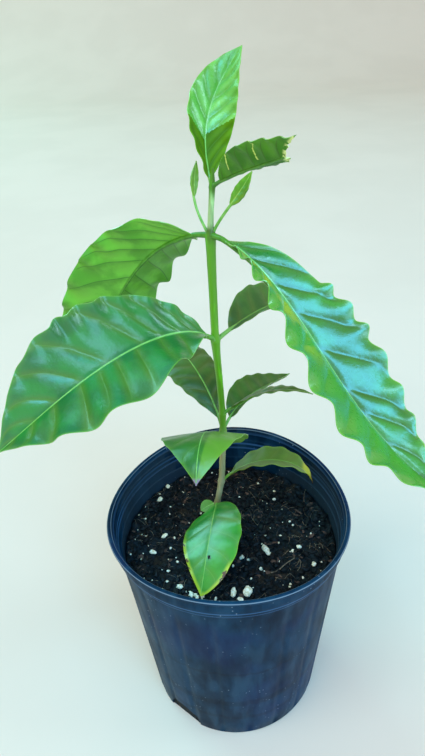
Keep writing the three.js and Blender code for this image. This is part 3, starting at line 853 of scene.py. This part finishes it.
def blade_surface(leaf, across, b):
    """Points of the blade at across, -1 to 1, and b, 0 to 1, with what its finish needs to know."""
    t, sign = np.abs(across), np.where(across > 0, 1.0, -1.0)
    whole = leaf["petiole"] + leaf["length"]
    place, along, side, up = trace_midrib(leaf, (leaf["petiole"] + b * leaf["length"]) / whole)
    vein, lobe, wave, scallop, pitch = (np.zeros(len(b)) for _ in range(5))
    for k, mine in enumerate((across <= 0, across > 0)):
        marks, sweep = leaf["veins"][k], leaf["sweep"][k]
        back = b[mine] - sweep * ((1 - VEIN_BEND) * t[mine] + VEIN_BEND * t[mine] ** 4)
        vein[mine] = count_marks(back, marks)
        passed = count_marks(back + PITCH_STEP, marks) - count_marks(back - PITCH_STEP, marks)
        pitch[mine] = PITCH_PER_METRE * leaf["length"] / (passed / (2 * PITCH_STEP))
        ends = [mark + sweep for mark in marks]
        notches = leaf["notches"][k] if "notches" in leaf else ends
        lobe[mine] = -np.cos(2 * np.pi * count_marks(b[mine], notches))
        wave[mine] = leaf["wave"][k]
        scallop[mine] = leaf["scallop"][k]
    swell = np.sqrt(np.sin(np.pi * np.clip(b, 0, 1)))
    half = half_width(leaf, b, sign) * (1 + scallop * swell * t**4 * lobe)
    room = np.minimum(1, half / (0.2 * leaf["width"])) * swell
    half = np.maximum(half, TIP_HALF_WIDTH)
    dome = 1 - (1 - 2 * np.abs(vein - np.round(vein))) ** DOME_POWER
    calm = (1 - t**4) * np.minimum(1, 5 * t) * np.sin(np.pi * np.clip(b, 0, 1)) ** 0.4
    drift = np.array([noise.noise(Vector(spot)) for spot in place * 34 + side * across[:, None]])
    groove = RIB_SINK * leaf["quilt"] * np.exp(-((half * t / GROOVE_HALF_WIDTH) ** 2)) * swell
    lift = leaf["quilt"] * ((dome - 0.6) * calm * room + 0.5 * drift * room * t) - groove
    lift += leaf["gap"] * swell - wave * room * t**3 * lobe
    lean = np.minimum(1, b / BLADE_START) * np.radians(leaf["fold"] + 0.5 * leaf["curl"] * t)
    out = (half * across * np.cos(lean))[:, None] * side
    points = place + out + (half * t * np.sin(lean) + lift)[:, None] * up
    to_end = leaf["length"] * (blade_end(leaf, across) - b)
    known = {
        "vein": vein,
        "pitch": pitch,
        "rib": half * t / rib_radius(leaf, b),
        "rim": 1000 * np.minimum(half * (1 - t), to_end),
        "reach": b,
        "hand": across,
    }
    return points, known


def grow_blade(name, leaf):
    """The thin blade, from a flat grid with its attributes. Its faces look up."""
    rows = round(leaf["length"] * leaf["cut"] / BLADE_GRAIN)
    columns = 2 * round(leaf["width"] / 2 / BLADE_GRAIN)
    bpy.ops.mesh.primitive_grid_add(
        x_subdivisions=columns, y_subdivisions=rows, size=2, location=(0, 0, 0)
    )
    blade = bpy.context.object
    blade.name = name
    flat = points_of(blade)
    across = -flat[:, 0]
    b = (flat[:, 1] + 1) / 2 * blade_end(leaf, across)
    points, known = blade_surface(leaf, across, b)
    move_points(blade, points)
    for key, values in known.items():
        noted = blade.data.attributes.new(key, "FLOAT", "POINT")
        noted.data.foreach_set("value", values.astype(np.float32))
    return blade


def grow_stalk(leaf, skin):
    """Petiole and midrib as one tapering round, sunk into the blade's back."""
    rows = max(14, round((leaf["petiole"] + leaf["length"] * leaf["cut"]) / STALK_GRAIN))
    stalk = draw_up("stalk", STALK_SIDES, [(1, k) for k in range(rows + 1)])
    ring = points_of(stalk)
    whole = leaf["petiole"] + leaf["length"]
    end = (leaf["petiole"] + STALK_END * leaf["cut"] * leaf["length"]) / whole
    share = ring[:, 2] / rows * end
    place, along, side, up = trace_midrib(leaf, share)
    b = (share * whole - leaf["petiole"]) / leaf["length"]
    girth = rib_radius(leaf, b) * (1 + 0.5 * np.exp(-share * whole / STALK_FLARE))
    swell = np.sqrt(np.sin(np.pi * np.clip(b, 0, 1)))
    sink = np.clip(b / BLADE_START, 0, 1) * (girth - STALK_SINK)
    sink += RIB_SINK * leaf["quilt"] * swell
    middle = place - sink[:, None] * up
    turn = np.arctan2(ring[:, 1], ring[:, 0])
    around = np.cos(turn)[:, None] * side + np.sin(turn)[:, None] * up
    move_points(stalk, middle + girth[:, None] * around)
    stalk.data.materials.append(skin)
    return stalk


def rest_of(tree, share):
    return math_of(tree, "SUBTRACT", 1.0, share)


def off_the_veins(tree):
    """Distance from the nearest side vein, in mm."""
    return times(tree, math_of(tree, "PINGPONG", noted(tree, "vein"), 0.5), noted(tree, "pitch"))


def leaf_front(name, flesh, shade, groove, vein, margin, gloss, wax=0.0, relief=0.35):
    """The waxy upper side: green domes, olive valleys along the veins, a thin bright margin."""
    material, tree, shader = new_finish(name)
    rib, rim, off_vein = noted(tree, "rib"), noted(tree, "rim"), off_the_veins(tree)
    cloudy, fine = mottle(tree, 50, 4), mottle(tree, 420, 6)
    body = mix_colours(tree, fade(tree, cloudy, 0.62, 0.38), tone(*flesh), tone(*shade))
    off_rim = rest_of(tree, fade(tree, rim, 0.8, 3.5))
    off_rib = rest_of(tree, fade(tree, rib, 1.0, 2.0))
    for share, colour in (
        (times(tree, fade(tree, off_vein, 0.3, 4.2), 0.65), groove),
        (times(tree, fade(tree, off_vein, 0.1, 0.45), off_rim, off_rib, 0.1), vein),
        (times(tree, fade(tree, rim, 0.5, 3.5), 0.15), margin),
        (times(tree, fade(tree, rim, 0.15, 0.6), 0.6), margin),
        (fade(tree, rib, 0.5, 0.9), vein),
    ):
        body = mix_colours(tree, share, body, tone(*colour))
    feed(tree, shader, {
        "Base Color": body,
        "Roughness": spread(tree, fine, gloss - 0.08, gloss + 0.12),
        "Normal": relief_of(tree, fine, relief, 0.0004),
        "Specular IOR Level": 0.5 + 0.6 * wax,
        "Coat Weight": wax,
        "Coat Roughness": 0.26,
    })
    return material


def leaf_back(name, flesh, shade, vein):
    """The duller underside, with its veins standing out."""
    material, tree, shader = new_finish(name)
    rim, off_vein = noted(tree, "rim"), off_the_veins(tree)
    cloudy, fine = mottle(tree, 60, 4), mottle(tree, 700, 3)
    body = mix_colours(tree, fade(tree, cloudy, 0.6, 0.4), tone(*flesh), tone(*shade))
    flank = times(tree, fade(tree, off_vein, 0.3, 3.0), 0.4)
    body = mix_colours(tree, flank, body, tone(*shade))
    off_rim = rest_of(tree, fade(tree, rim, 0.5, 2.5))
    line = times(tree, fade(tree, off_vein, 0.15, 0.5), off_rim, 0.85)
    feed(tree, shader, {
        "Base Color": mix_colours(tree, line, body, tone(*vein)),
        "Roughness": spread(tree, cloudy, 0.44, 0.58),
        "Normal": relief_of(tree, fine, 0.2, 0.0003),
    })
    return material


def stain(material, share, colour):
    """Lays a colour over the finish that the material has, as far as share goes."""
    tree = material.node_tree
    entry = tree.nodes["Principled BSDF"].inputs["Base Color"]
    tree.links.new(mix_colours(tree, share, entry.links[0].from_socket, tone(*colour)), entry)


def streak(material, leaf, start, end, thick, colour):
    """Stains a ragged line, thick mm wide, between two (reach, hand) places of a blade."""
    tree = material.node_tree
    off = []
    for key, k, scale in (("reach", 0, 1000 * leaf["length"]), ("hand", 1, 500 * leaf["width"])):
        line = spread(tree, noted(tree, "hand"), start[k], end[k], start[1], end[1])
        off.append(times(tree, math_of(tree, "SUBTRACT", noted(tree, key), line), scale))
    apart = add_node(tree, "CombineXYZ", {"X": off[0], "Y": off[1]}).outputs[0]
    apart = add_node(tree, "VectorMath", {0: apart}, operation="LENGTH").outputs["Value"]
    wander = math_of(tree, "SUBTRACT", mottle(tree, 900, 2), 0.5)
    ragged = times_plus(tree, wander, thick * 1.6, apart)
    stain(material, fade(tree, ragged, thick * 0.4, thick * 0.7), colour)


def beyond(material, start, end):
    """0 on the blade up to start, as a share of its length, and 1 from end on."""
    tree = material.node_tree
    return rest_of(tree, fade(tree, noted(tree, "reach"), start, end))


def stalk_skin(name, colour, other):
    return plain_finish(name, colour, other, 220, 0.4, 0.1)


def thicken(blade, finishes, rim):
    """Gives a blade its thickness. The finish at rim, of front, back and stalk, is on its edge."""
    for finish in finishes:
        blade.data.materials.append(finish)
    apply_modifier(
        blade,
        "SOLIDIFY",
        thickness=BLADE_THICKNESS,
        offset=0,
        material_offset=1,
        material_offset_rim=rim,
    )


def finish_leaf(blade, others, finishes, node):
    """Thickens the blade, joins its stalk on, and stands it for its node."""
    select_only(blade)
    thicken(blade, finishes, 0)
    for other in others:
        other.select_set(True)
    bpy.ops.object.join()
    bpy.ops.object.shade_smooth_by_angle(angle=math.radians(50))
    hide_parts(node)
    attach(blade, "root")


def make_leaf(node, leaf, finishes):
    stalk = grow_stalk(leaf, finishes[2])
    blade = grow_blade(node + "_blade", leaf)
    finish_leaf(blade, [stalk], finishes, node)
    return blade


green_stalk = stalk_skin("leaf stalk", (104, 170, 62), (132, 190, 88))
mature_back = leaf_back("leaf back", (110, 162, 60), (86, 138, 46), (150, 188, 100))

FOOT_LEAF_FRONT = leaf_of(
    height=0.1501, heading=264, turn=-7, rise=35, arch=5, fall=-36,
    petiole=0.003, length=0.083, width=0.0445, stalk=0.0009, quilt=0.0003,
    roll=29, twist=-10, fold=4, curl=-14, shoulder=0.81, point=0.9, skew=0.03, lean=-0.16,
    wave=(0.0004, 0.0004), scallop=(0.01, 0.01), sweep=(0.16, 0.16), veins=both_sides(6),
)
FOOT_LEAF_SMALL = leaf_of(
    height=0.1501, heading=200, turn=6, rise=14, arch=-6, fall=-20,
    petiole=0.0025, length=0.011, width=0.011, stalk=0.0007, quilt=0.0003,
    roll=-8, twist=0, fold=6, curl=0, shoulder=0.7, point=0.8,
    wave=(0, 0), scallop=(0, 0), sweep=(0.2, 0.2), veins=both_sides(3),
)
# The broad one has yellowed at its left side and tip, with brown nibbled spots on the margin
spotted_front = leaf_front(
    "spotted leaf", flesh=(50, 154, 36), shade=(34, 132, 30), groove=(70, 140, 26),
    vein=(150, 208, 104), margin=(140, 196, 50), gloss=0.3, wax=0.5,
)
NIBBLES = (
    (0.54, -0.98, 1.9),
    (0.71, -0.95, 2.6),
    (0.78, -0.96, 1.8),
    (0.83, 0.94, 3.2),
    (0.87, 0.95, 2.4),
)
tree = spotted_front.node_tree
at_margin = fade(tree, noted(tree, "rim"), 0.7, 3.6)
left = fade(tree, noted(tree, "hand"), 0.2, 0.6)
left_or_tip = math_of(tree, "MAXIMUM", left, beyond(spotted_front, 0.72, 0.8))
yellowed = times(tree, at_margin, beyond(spotted_front, 0.35, 0.65), left_or_tip)
stain(spotted_front, yellowed, (180, 202, 48))
for reach, hand, thick in NIBBLES:
    end = (reach + 0.012, hand + 0.01)
    streak(spotted_front, FOOT_LEAF_FRONT, (reach, hand), end, thick, (92, 58, 46))
streak(spotted_front, FOOT_LEAF_FRONT, (0.70, 0.085), (0.715, 0.125), 2.2, (36, 44, 22))
dull_front = leaf_front(
    "dull leaf", flesh=(92, 156, 66), shade=(76, 138, 56), groove=(92, 142, 56),
    vein=(130, 180, 96), margin=(120, 172, 80), gloss=0.45,
)
# The insect's hole beside its midrib: place, radius in mm, and mm in a whole reach and hand there
HOLE_PLACE = (0.705, 0.105)
HOLE_RADIUS = 1.05
HOLE_SCALE = (83, 22)


def middle_of(blade, face):
    """The (reach, hand) of a face's middle."""
    spots = [blade.data.attributes[key].data for key in ("reach", "hand")]
    return [np.mean([spot[k].value for k in face.vertices]) for spot in spots]


stalk = grow_stalk(FOOT_LEAF_FRONT, green_stalk)
blade = grow_blade("foot_leaf_front_blade", FOOT_LEAF_FRONT)
bpy.ops.object.mode_set(mode="EDIT")
bpy.ops.mesh.select_mode(type="FACE")
bpy.ops.mesh.select_all(action="DESELECT")
bpy.ops.object.mode_set(mode="OBJECT")
for face in blade.data.polygons:
    off = (np.array(middle_of(blade, face)) - HOLE_PLACE) * HOLE_SCALE
    face.select = math.hypot(*off) < HOLE_RADIUS
bpy.ops.object.mode_set(mode="EDIT")
bpy.ops.mesh.delete(type="FACE")
bpy.ops.object.mode_set(mode="OBJECT")
finishes = (spotted_front, mature_back, green_stalk)
finish_leaf(blade, [stalk], finishes, "foot_leaf_front")
make_leaf("foot_leaf_small", FOOT_LEAF_SMALL, (dull_front, mature_back, green_stalk))


# Arched leaves, above the foot: one rises towards the front and bends down at its tip, and one
# leans over the soil at the right, its tip curled and turned yellow-brown.
ARCHED_LEAF_FRONT = leaf_of(
    height=0.2065, heading=252, turn=12.5, rise=38, arch=46, fall=-55,
    petiole=0.0065, length=0.101, width=0.0535, stalk=0.0011, quilt=0.0004,
    roll=5, twist=2.5, fold=-5, curl=-3, shoulder=0.87, point=1.11, skew=-0.08, lean=-0.05,
    wave=(0.0004, 0.0004), scallop=(0.005, 0.005), sweep=(0.16, 0.16), veins=both_sides(7),
)
ARCHED_LEAF_RIGHT = leaf_of(
    height=0.1717, heading=-6.5, turn=-4, rise=50.5, arch=19.5, fall=-77,
    petiole=0.009, length=0.072, width=0.029, stalk=0.0009, quilt=0.0004,
    roll=-15, twist=3.5, fold=13, curl=1.5, shoulder=0.76, point=0.96,
    wave=(0.0007, 0.0007), scallop=(0.01, 0.01), sweep=(0.12, 0.12), veins=both_sides(6),
)
dried_front = leaf_front(
    "smooth leaf", flesh=(50, 116, 28), shade=(38, 100, 22), groove=(68, 122, 26),
    vein=(150, 200, 96), margin=(120, 178, 44), gloss=0.36, wax=0.2,
)
tree = dried_front.node_tree
paler = times(tree, fade(tree, noted(tree, "hand"), 0.24, 0.12), 0.6)
stain(dried_front, paler, (118, 168, 44))
stain(dried_front, beyond(dried_front, 0.955, 0.975), (126, 112, 124))
curled_front = leaf_front(
    "pale olive leaf", flesh=(92, 126, 38), shade=(76, 108, 32), groove=(90, 114, 34),
    vein=(130, 160, 70), margin=(128, 160, 50), gloss=0.45,
)
curled_back = leaf_back("pale leaf back", (116, 148, 58), (98, 130, 48), (142, 168, 80))
for finish in (curled_front, curled_back):
    stain(finish, beyond(finish, 0.77, 0.83), (170, 170, 30))
    stain(finish, beyond(finish, 0.90, 0.96), (92, 58, 34))
make_leaf("arched_leaf_front", ARCHED_LEAF_FRONT, (dried_front, mature_back, green_stalk))
make_leaf("arched_leaf_right", ARCHED_LEAF_RIGHT, (curled_front, curled_back, green_stalk))


# Lower leaves: a pair that stands up behind the stem, and a thin one folded along its midrib.
# They are older than the rest and olive green.
LOWER_LEAF_LEFT = leaf_of(
    height=0.2171, heading=115, turn=-1, rise=62.5, arch=18.5, fall=-8,
    petiole=0.008, length=0.100, width=0.037, stalk=0.0011, quilt=0.0007,
    roll=1, twist=-6, fold=-1.5, curl=-22, shoulder=1.05, point=0.85, skew=0.04, lean=0.03,
    wave=(0.0008, 0.0008), scallop=(0.01, 0.01), sweep=(0.12, 0.12), veins=both_sides(8),
)
LOWER_LEAF_RIGHT = leaf_of(
    height=0.2171, heading=47.5, turn=1, rise=53, arch=1, fall=-3,
    petiole=0.0105, length=0.074, width=0.031, stalk=0.001, quilt=0.0006,
    roll=-13, twist=3, fold=21, curl=16, shoulder=0.79, point=1.11,
    wave=(0.0006, 0.0006), scallop=(0.01, 0.01), sweep=(0.12, 0.12), veins=both_sides(7),
)
LOWER_LEAF_FOLDED = leaf_of(
    height=0.2315, heading=-25, turn=-1, rise=45.5, arch=36, fall=-11.5,
    petiole=0.008, length=0.063, width=0.019, stalk=0.001, quilt=0.0004,
    roll=-13, twist=-4, fold=20.5, curl=-34, shoulder=0.74, point=1.14,
    wave=(0.0005, 0.0005), scallop=(0.01, 0.01), sweep=(0.1, 0.1), veins=both_sides(7),
)
olive_front = leaf_front(
    "olive leaf", flesh=(66, 110, 34), shade=(48, 88, 28), groove=(78, 100, 32),
    vein=(112, 146, 64), margin=(104, 142, 44), gloss=0.4,
)
olive_back = leaf_back("olive leaf back", (104, 128, 56), (84, 108, 44), (130, 150, 76))
for node, leaf in (
    ("lower_leaf_left", LOWER_LEAF_LEFT),
    ("lower_leaf_right", LOWER_LEAF_RIGHT),
    ("lower_leaf_folded", LOWER_LEAF_FOLDED),
):
    make_leaf(node, leaf, (olive_front, olive_back, green_stalk))


# Middle pair: a broad glossy leaf that swings out to the front left, and a darker one that
# droops away behind the stem at the right.
MIDDLE_LEAF_LEFT = leaf_of(
    height=0.2876, heading=229.5, turn=-36, rise=50, arch=-5.5, fall=-35,
    petiole=0.006, length=0.154, width=0.073, stalk=0.0015, quilt=0.0018,
    roll=-24, twist=-18, fold=22.5, curl=19, shoulder=1.4, point=1.3, skew=0.06, lean=0.08,
    wave=(0.0022, 0.0044), scallop=(0.06, 0.05), sweep=(0.17, 0.06),
    veins=(
        (0.02, 0.10, 0.18, 0.265, 0.35, 0.50, 0.61, 0.72, 0.82, 0.91),
        (0.02, 0.11, 0.20, 0.285, 0.385, 0.47, 0.54, 0.62, 0.735, 0.83, 0.92),
    ),
    notches=(
        (0.10, 0.19, 0.28, 0.37, 0.45, 0.53, 0.59, 0.70, 0.80, 0.90),
        (0.03, 0.19, 0.35, 0.58, 0.745, 0.88),
    ),
)
MIDDLE_LEAF_RIGHT = leaf_of(
    height=0.2876, heading=38, turn=17, rise=19, arch=-2.5, fall=-51,
    petiole=0.012, length=0.0965, width=0.041, stalk=0.0013, quilt=0.0008,
    roll=-3, twist=2, fold=20.5, curl=15, shoulder=0.85, point=1.11,
    wave=(0.001, 0.001), scallop=(0.02, 0.02), sweep=(0.15, 0.15), veins=both_sides(7),
)
broad_front = leaf_front(
    "broad leaf", flesh=(30, 132, 46), shade=(18, 108, 42), groove=(76, 124, 28),
    vein=(140, 204, 100), margin=(112, 180, 56), gloss=0.32, wax=0.45, relief=0.65,
)
make_leaf("middle_leaf_left", MIDDLE_LEAF_LEFT, (broad_front, mature_back, green_stalk))
make_leaf("middle_leaf_right", MIDDLE_LEAF_RIGHT, (olive_front, olive_back, green_stalk))


# Upper pair: the two largest leaves. The right one droops to the front with a strongly waved
# margin. The left one hangs back, so that the light shines yellow-green through its blade.
UPPER_LEAF_LEFT = leaf_of(
    height=0.3552, heading=148, turn=7, rise=-1, arch=-50, fall=-35,
    petiole=0.0114, length=0.162, width=0.0695, stalk=0.0015, quilt=0.0015,
    roll=38, twist=11.5, fold=21, curl=5, shoulder=0.64, point=0.78, skew=-0.05, lean=-0.1,
    wave=(0.0042, 0.0026), scallop=(0.02, 0.045), sweep=(0.17, 0.22),
    veins=(
        (0.02, 0.09, 0.16, 0.25, 0.35, 0.445, 0.55, 0.66, 0.77, 0.87),
        (0.03, 0.10, 0.18, 0.26, 0.37, 0.49, 0.61, 0.73, 0.84),
    ),
    notches=(
        (0.09, 0.33, 0.485, 0.64, 0.80, 0.92),
        (0.15, 0.272, 0.351, 0.444, 0.588, 0.704, 0.82, 0.92),
    ),
)
UPPER_LEAF_RIGHT = leaf_of(
    height=0.3552, heading=-54, turn=-6, rise=7.5, arch=-33.5, fall=2,
    petiole=0.011, length=0.174, width=0.056, stalk=0.0015, quilt=0.0018,
    roll=-8.5, twist=7.5, fold=24, curl=8, shoulder=1.08, point=0.75, skew=-0.1, lean=0.26,
    wave=(0.0038, -0.0016), scallop=(0.02, 0.035), sweep=(0.12, 0.16),
    veins=(
        (0.05, 0.12, 0.20, 0.31, 0.43, 0.55, 0.66, 0.75, 0.83, 0.91),
        (0.02, 0.13, 0.25, 0.36, 0.49, 0.625, 0.705, 0.81, 0.92),
    ),
    notches=(
        (0.10, 0.183, 0.291, 0.395, 0.531, 0.681, 0.82, 0.91),
        (-0.05, 0.32, 0.38, 0.47, 0.54, 0.66, 0.76, 0.84, 0.92),
    ),
)
glossy_front = leaf_front(
    "waxy leaf", flesh=(38, 138, 28), shade=(22, 112, 22), groove=(82, 126, 22),
    vein=(150, 208, 104), margin=(140, 196, 50), gloss=0.27, wax=0.8,
)
# The light shining through this blade from behind is painted into its base colour, as painted
# light, with its veins dark against it
lit_back = leaf_back("backlit leaf", (110, 188, 50), (84, 158, 34), (56, 118, 22))
dark_stalk = stalk_skin("dark stalk", (58, 124, 20), (76, 142, 28))
# The half of the right leaf that is turned from the sky is painted yellower as a painted warm
# reflection, most near its midrib
painted_warm_side = leaf_front(
    "drooping leaf", flesh=(36, 138, 32), shade=(22, 114, 26), groove=(22, 96, 22),
    vein=(128, 200, 104), margin=(140, 196, 50), gloss=0.27, wax=0.8, relief=0.6,
)
tree = painted_warm_side.node_tree
reach, hand = noted(tree, "reach"), noted(tree, "hand")
left = fade(tree, hand, -0.05, 0.02)
# Painted warm reflection on the half turned from the sky
stain(painted_warm_side, times(tree, left, 0.65), (78, 172, 34))
patchy = fade(tree, mottle(tree, 70, 3), 0.56, 0.42)
off_margin = rest_of(tree, fade(tree, hand, -0.7, -0.4))
near = times(tree, off_margin, left, patchy, fade(tree, reach, 0.42, 0.6), 0.75)
stain(painted_warm_side, near, (178, 190, 34))
make_leaf("upper_leaf_left", UPPER_LEAF_LEFT, (glossy_front, lit_back, dark_stalk))
make_leaf("upper_leaf_right", UPPER_LEAF_RIGHT, (painted_warm_side, mature_back, dark_stalk))


# Side shoots: from each axil of the upper pair a thin stalk carries two young leaves, still
# pressed together. The second leaf lies along the back of the first one, on the same stalk.
SHOOT_LEFT = leaf_of(
    height=0.3533, heading=147.5, turn=-92, rise=61.5, arch=46.5, fall=69,
    petiole=0.0255, length=0.021, width=0.0056, stalk=0.00075, quilt=0.0003,
    roll=56, twist=1, fold=11, curl=-2, shoulder=0.8, point=1.0, lean=0.05,
    wave=(0.0002, 0.0002), scallop=(0.01, 0.01), sweep=(0.1, 0.1), veins=both_sides(5),
    gap=0.0004,
)
SHOOT_RIGHT = leaf_of(
    height=0.3533, heading=-14.5, turn=3.5, rise=68.5, arch=53.5, fall=64.5,
    petiole=0.022, length=0.022, width=0.0084, stalk=0.00085, quilt=0.0006,
    roll=43.5, twist=4.5, fold=8, curl=-7, shoulder=0.8, point=1.0,
    wave=(0.0003, 0.0003), scallop=(0.02, 0.02), sweep=(0.1, 0.1), veins=both_sides(5),
    gap=0.0004,
)
young_back = leaf_back("young leaf back", (96, 156, 36), (68, 126, 28), (124, 180, 60))
bud_front = leaf_front(
    "bud leaf", flesh=(122, 188, 46), shade=(92, 160, 32), groove=(84, 148, 32),
    vein=(150, 198, 84), margin=(132, 176, 50), gloss=0.42,
)
TWIN_ROLL = 176
TWIN_LENGTH = 0.94
TWIN_START = 0.0004
finishes = (bud_front, young_back, green_stalk)
for node, leaf in (("shoot_left", SHOOT_LEFT), ("shoot_right", SHOOT_RIGHT)):
    second = {**leaf, "roll": leaf["roll"] + TWIN_ROLL, "length": leaf["length"] * TWIN_LENGTH}
    second.update(fold=-leaf["fold"], curl=-leaf["curl"], petiole=leaf["petiole"] + TWIN_START)
    twin = grow_blade("twin", second)
    stalk = grow_stalk(leaf, green_stalk)
    blade = grow_blade(node + "_leaves", leaf)
    thicken(twin, finishes, 2)
    finish_leaf(blade, [stalk, twin], finishes, node)


# Top pair: a light green leaf that stands upright, and one that reaches to the right, seen on
# its dark back, with the tip torn off.
TOP_LEAF_UPRIGHT = leaf_of(
    height=0.3818, heading=115, turn=-98, rise=60, arch=50.5, fall=48.5,
    petiole=0.0045, length=0.077, width=0.030, stalk=0.0009, quilt=0.0011,
    roll=30, twist=7, fold=21, curl=16, shoulder=0.78, point=0.91, skew=-0.02, lean=0.09,
    wave=(0.0010, 0.0008), scallop=(0.02, 0.02), sweep=(0.26, 0.2),
    veins=(
        (0.04, 0.17, 0.30, 0.43, 0.57, 0.70, 0.84),
        (0.02, 0.14, 0.27, 0.41, 0.55, 0.69, 0.83),
    ),
)
TOP_LEAF_TORN = leaf_of(
    height=0.3818, heading=-54.5, turn=-7, rise=32.5, arch=20, fall=35,
    petiole=0.009, length=0.09, width=0.029, stalk=0.001, quilt=0.0008,
    roll=-21, twist=-10, fold=17, curl=8.5, shoulder=0.9, point=1.1, lean=-0.3,
    wave=(0.0010, 0.0007), scallop=(0.05, 0.02), sweep=(0.1, 0.1), veins=both_sides(9),
    cut=0.615, slant=0.17, rag=0.03,
)
dark_front = leaf_front(
    "dark leaf", flesh=(70, 138, 26), shade=(50, 112, 20), groove=(70, 118, 22),
    vein=(110, 156, 60), margin=(150, 176, 60), gloss=0.36,
)
dark_back = leaf_back("dark leaf back", (82, 148, 22), (60, 122, 18), (64, 108, 20))
# Its pale flesh also carries part of the leaf's sheen, as painted highlight
fresh_front = leaf_front(
    "fresh leaf", flesh=(122, 194, 82), shade=(98, 174, 62), groove=(76, 148, 36),
    vein=(206, 236, 176), margin=(134, 190, 56), gloss=0.27, wax=0.25, relief=0.7,
)
# The upright leaf's lower part: painted darker as painted shade, with its sheen turned down
painted_shade_foot = leaf_front(
    "fresh leaf foot", flesh=(92, 134, 8), shade=(80, 122, 8), groove=(62, 100, 6),
    vein=(150, 204, 96), margin=(110, 166, 30), gloss=0.5,
)
shader = painted_shade_foot.node_tree.nodes["Principled BSDF"]
shader.inputs["Specular IOR Level"].default_value = 0.1
# The torn edge is ragged and pale, and pale cracks run between these (reach, hand) places
CRACKS = (
    ((0.475, -1.0), (0.503, -0.9)),
    ((0.503, -0.9), (0.456, -0.67)),
    ((0.456, -0.67), (0.419, -0.25)),
    ((0.23, -0.96), (0.158, -0.42)),
)
for finish in (dark_front, dark_back):
    tree = finish.node_tree
    slant = TOP_LEAF_TORN["slant"]
    to_edge = times_plus(tree, noted(tree, "hand"), slant, noted(tree, "reach"))
    at_edge = rest_of(tree, fade(tree, to_edge, 0.575, 0.605))
    ragged = times(tree, at_edge, fade(tree, mottle(tree, 300, 3), 0.54, 0.46))
    stain(finish, ragged, (222, 236, 148))
    for start, end in CRACKS:
        streak(finish, TOP_LEAF_TORN, start, end, 0.75, (212, 232, 116))
finishes = (fresh_front, young_back, green_stalk)
upright = make_leaf("top_leaf_upright", TOP_LEAF_UPRIGHT, finishes)
# Up to its second pair of veins the leaf is painted deeper green, as painted shade, and has little
# sheen
upright.data.materials.append(painted_shade_foot)
for face in upright.data.polygons:
    reach, hand = middle_of(upright, face)
    painted_shade_end = 0.32 - 0.13 * hand if hand < 0 else 0.27 + 0.11 * hand
    if face.material_index == 0 and reach < painted_shade_end:
        face.material_index = 3
make_leaf("top_leaf_torn", TOP_LEAF_TORN, (dark_front, dark_back, dark_stalk))


# Floor and light
# A plain pale floor that sweeps up behind the plant, and the soft light of an open sky: blue-green
# panels high in front, at the front right, behind at the left and at both sides, and a wide warm
# one at the left front.
FLOOR_HALF_WIDTH = 8
FLOOR_NEAR = -8
FLOOR_ROWS = 16
FLOOR_DROP = 0.0002
SWEEP_START = 3.2
SWEEP_ROUND = 1.5
SWEEP_TOP = 9
LIGHT_AIM = Vector((0, 0, 0.22))
# Name, place, width, power and colour of each panel
SKY = (
    ("high_sky", (0.5, -2.3, 4.0), 2.8, 165, (0.12, 0.62, 1.1)),
    ("front_sky", (2.2, -4.0, 1.9), 2.2, 70, (0.30, 0.66, 1.0)),
    ("back_sky", (-2.6, 2.6, 2.5), 2.6, 105, (0.24, 0.80, 0.88)),
    ("left_sky", (-1.3, -0.8, 4.2), 1.0, 36, (0.28, 0.72, 1.0)),
    ("right_sky", (4.2, -0.2, 2.0), 1.4, 55, (0.50, 0.80, 1.0)),
    ("warm_key", (-2.8, -2.0, 3.4), 3.8, 95, (1.0, 0.76, 0.48)),
)

bpy.ops.mesh.primitive_grid_add(
    x_subdivisions=1, y_subdivisions=FLOOR_ROWS, size=2, location=(0, 0, 0)
)
floor = bpy.context.object
floor.name = "floor"
turn = np.linspace(0, math.pi / 2, FLOOR_ROWS - 1)
away = (FLOOR_NEAR, *(SWEEP_START + SWEEP_ROUND * np.sin(turn)), SWEEP_START + SWEEP_ROUND)
up = np.array((0, *(SWEEP_ROUND - SWEEP_ROUND * np.cos(turn)), SWEEP_TOP)) - FLOOR_DROP
points = points_of(floor)
row = np.round((points[:, 1] + 1) / 2 * FLOOR_ROWS).astype(int)
move_points(floor, np.column_stack((points[:, 0] * FLOOR_HALF_WIDTH, np.array(away)[row], up[row])))
bpy.ops.object.shade_smooth()
pale = plain_finish("pale floor", (224, 204, 186), (221, 201, 183), 3, 0.9, 0.0)
floor.data.materials.append(pale)
for name, place, width, power, colour in SKY:
    data = bpy.data.lights.new(name, "AREA")
    data.shape = "SQUARE"
    data.size = width
    data.energy = power
    data.color = colour
    panel = bpy.data.objects.new(name, data)
    panel.location = place
    panel.rotation_euler = (LIGHT_AIM - Vector(place)).to_track_quat("-Z", "Y").to_euler()
    bpy.context.scene.collection.objects.link(panel)
bpy.data.objects["warm_key"].visible_glossy = False
world = bpy.data.worlds.new("soft sky")
world.use_nodes = True
background = world.node_tree.nodes["Background"]
background.inputs["Color"].default_value = (1.0, 0.90, 0.80, 1)
background.inputs["Strength"].default_value = 0.56
bpy.context.scene.world = world
bpy.context.scene.view_settings.view_transform = "Standard"
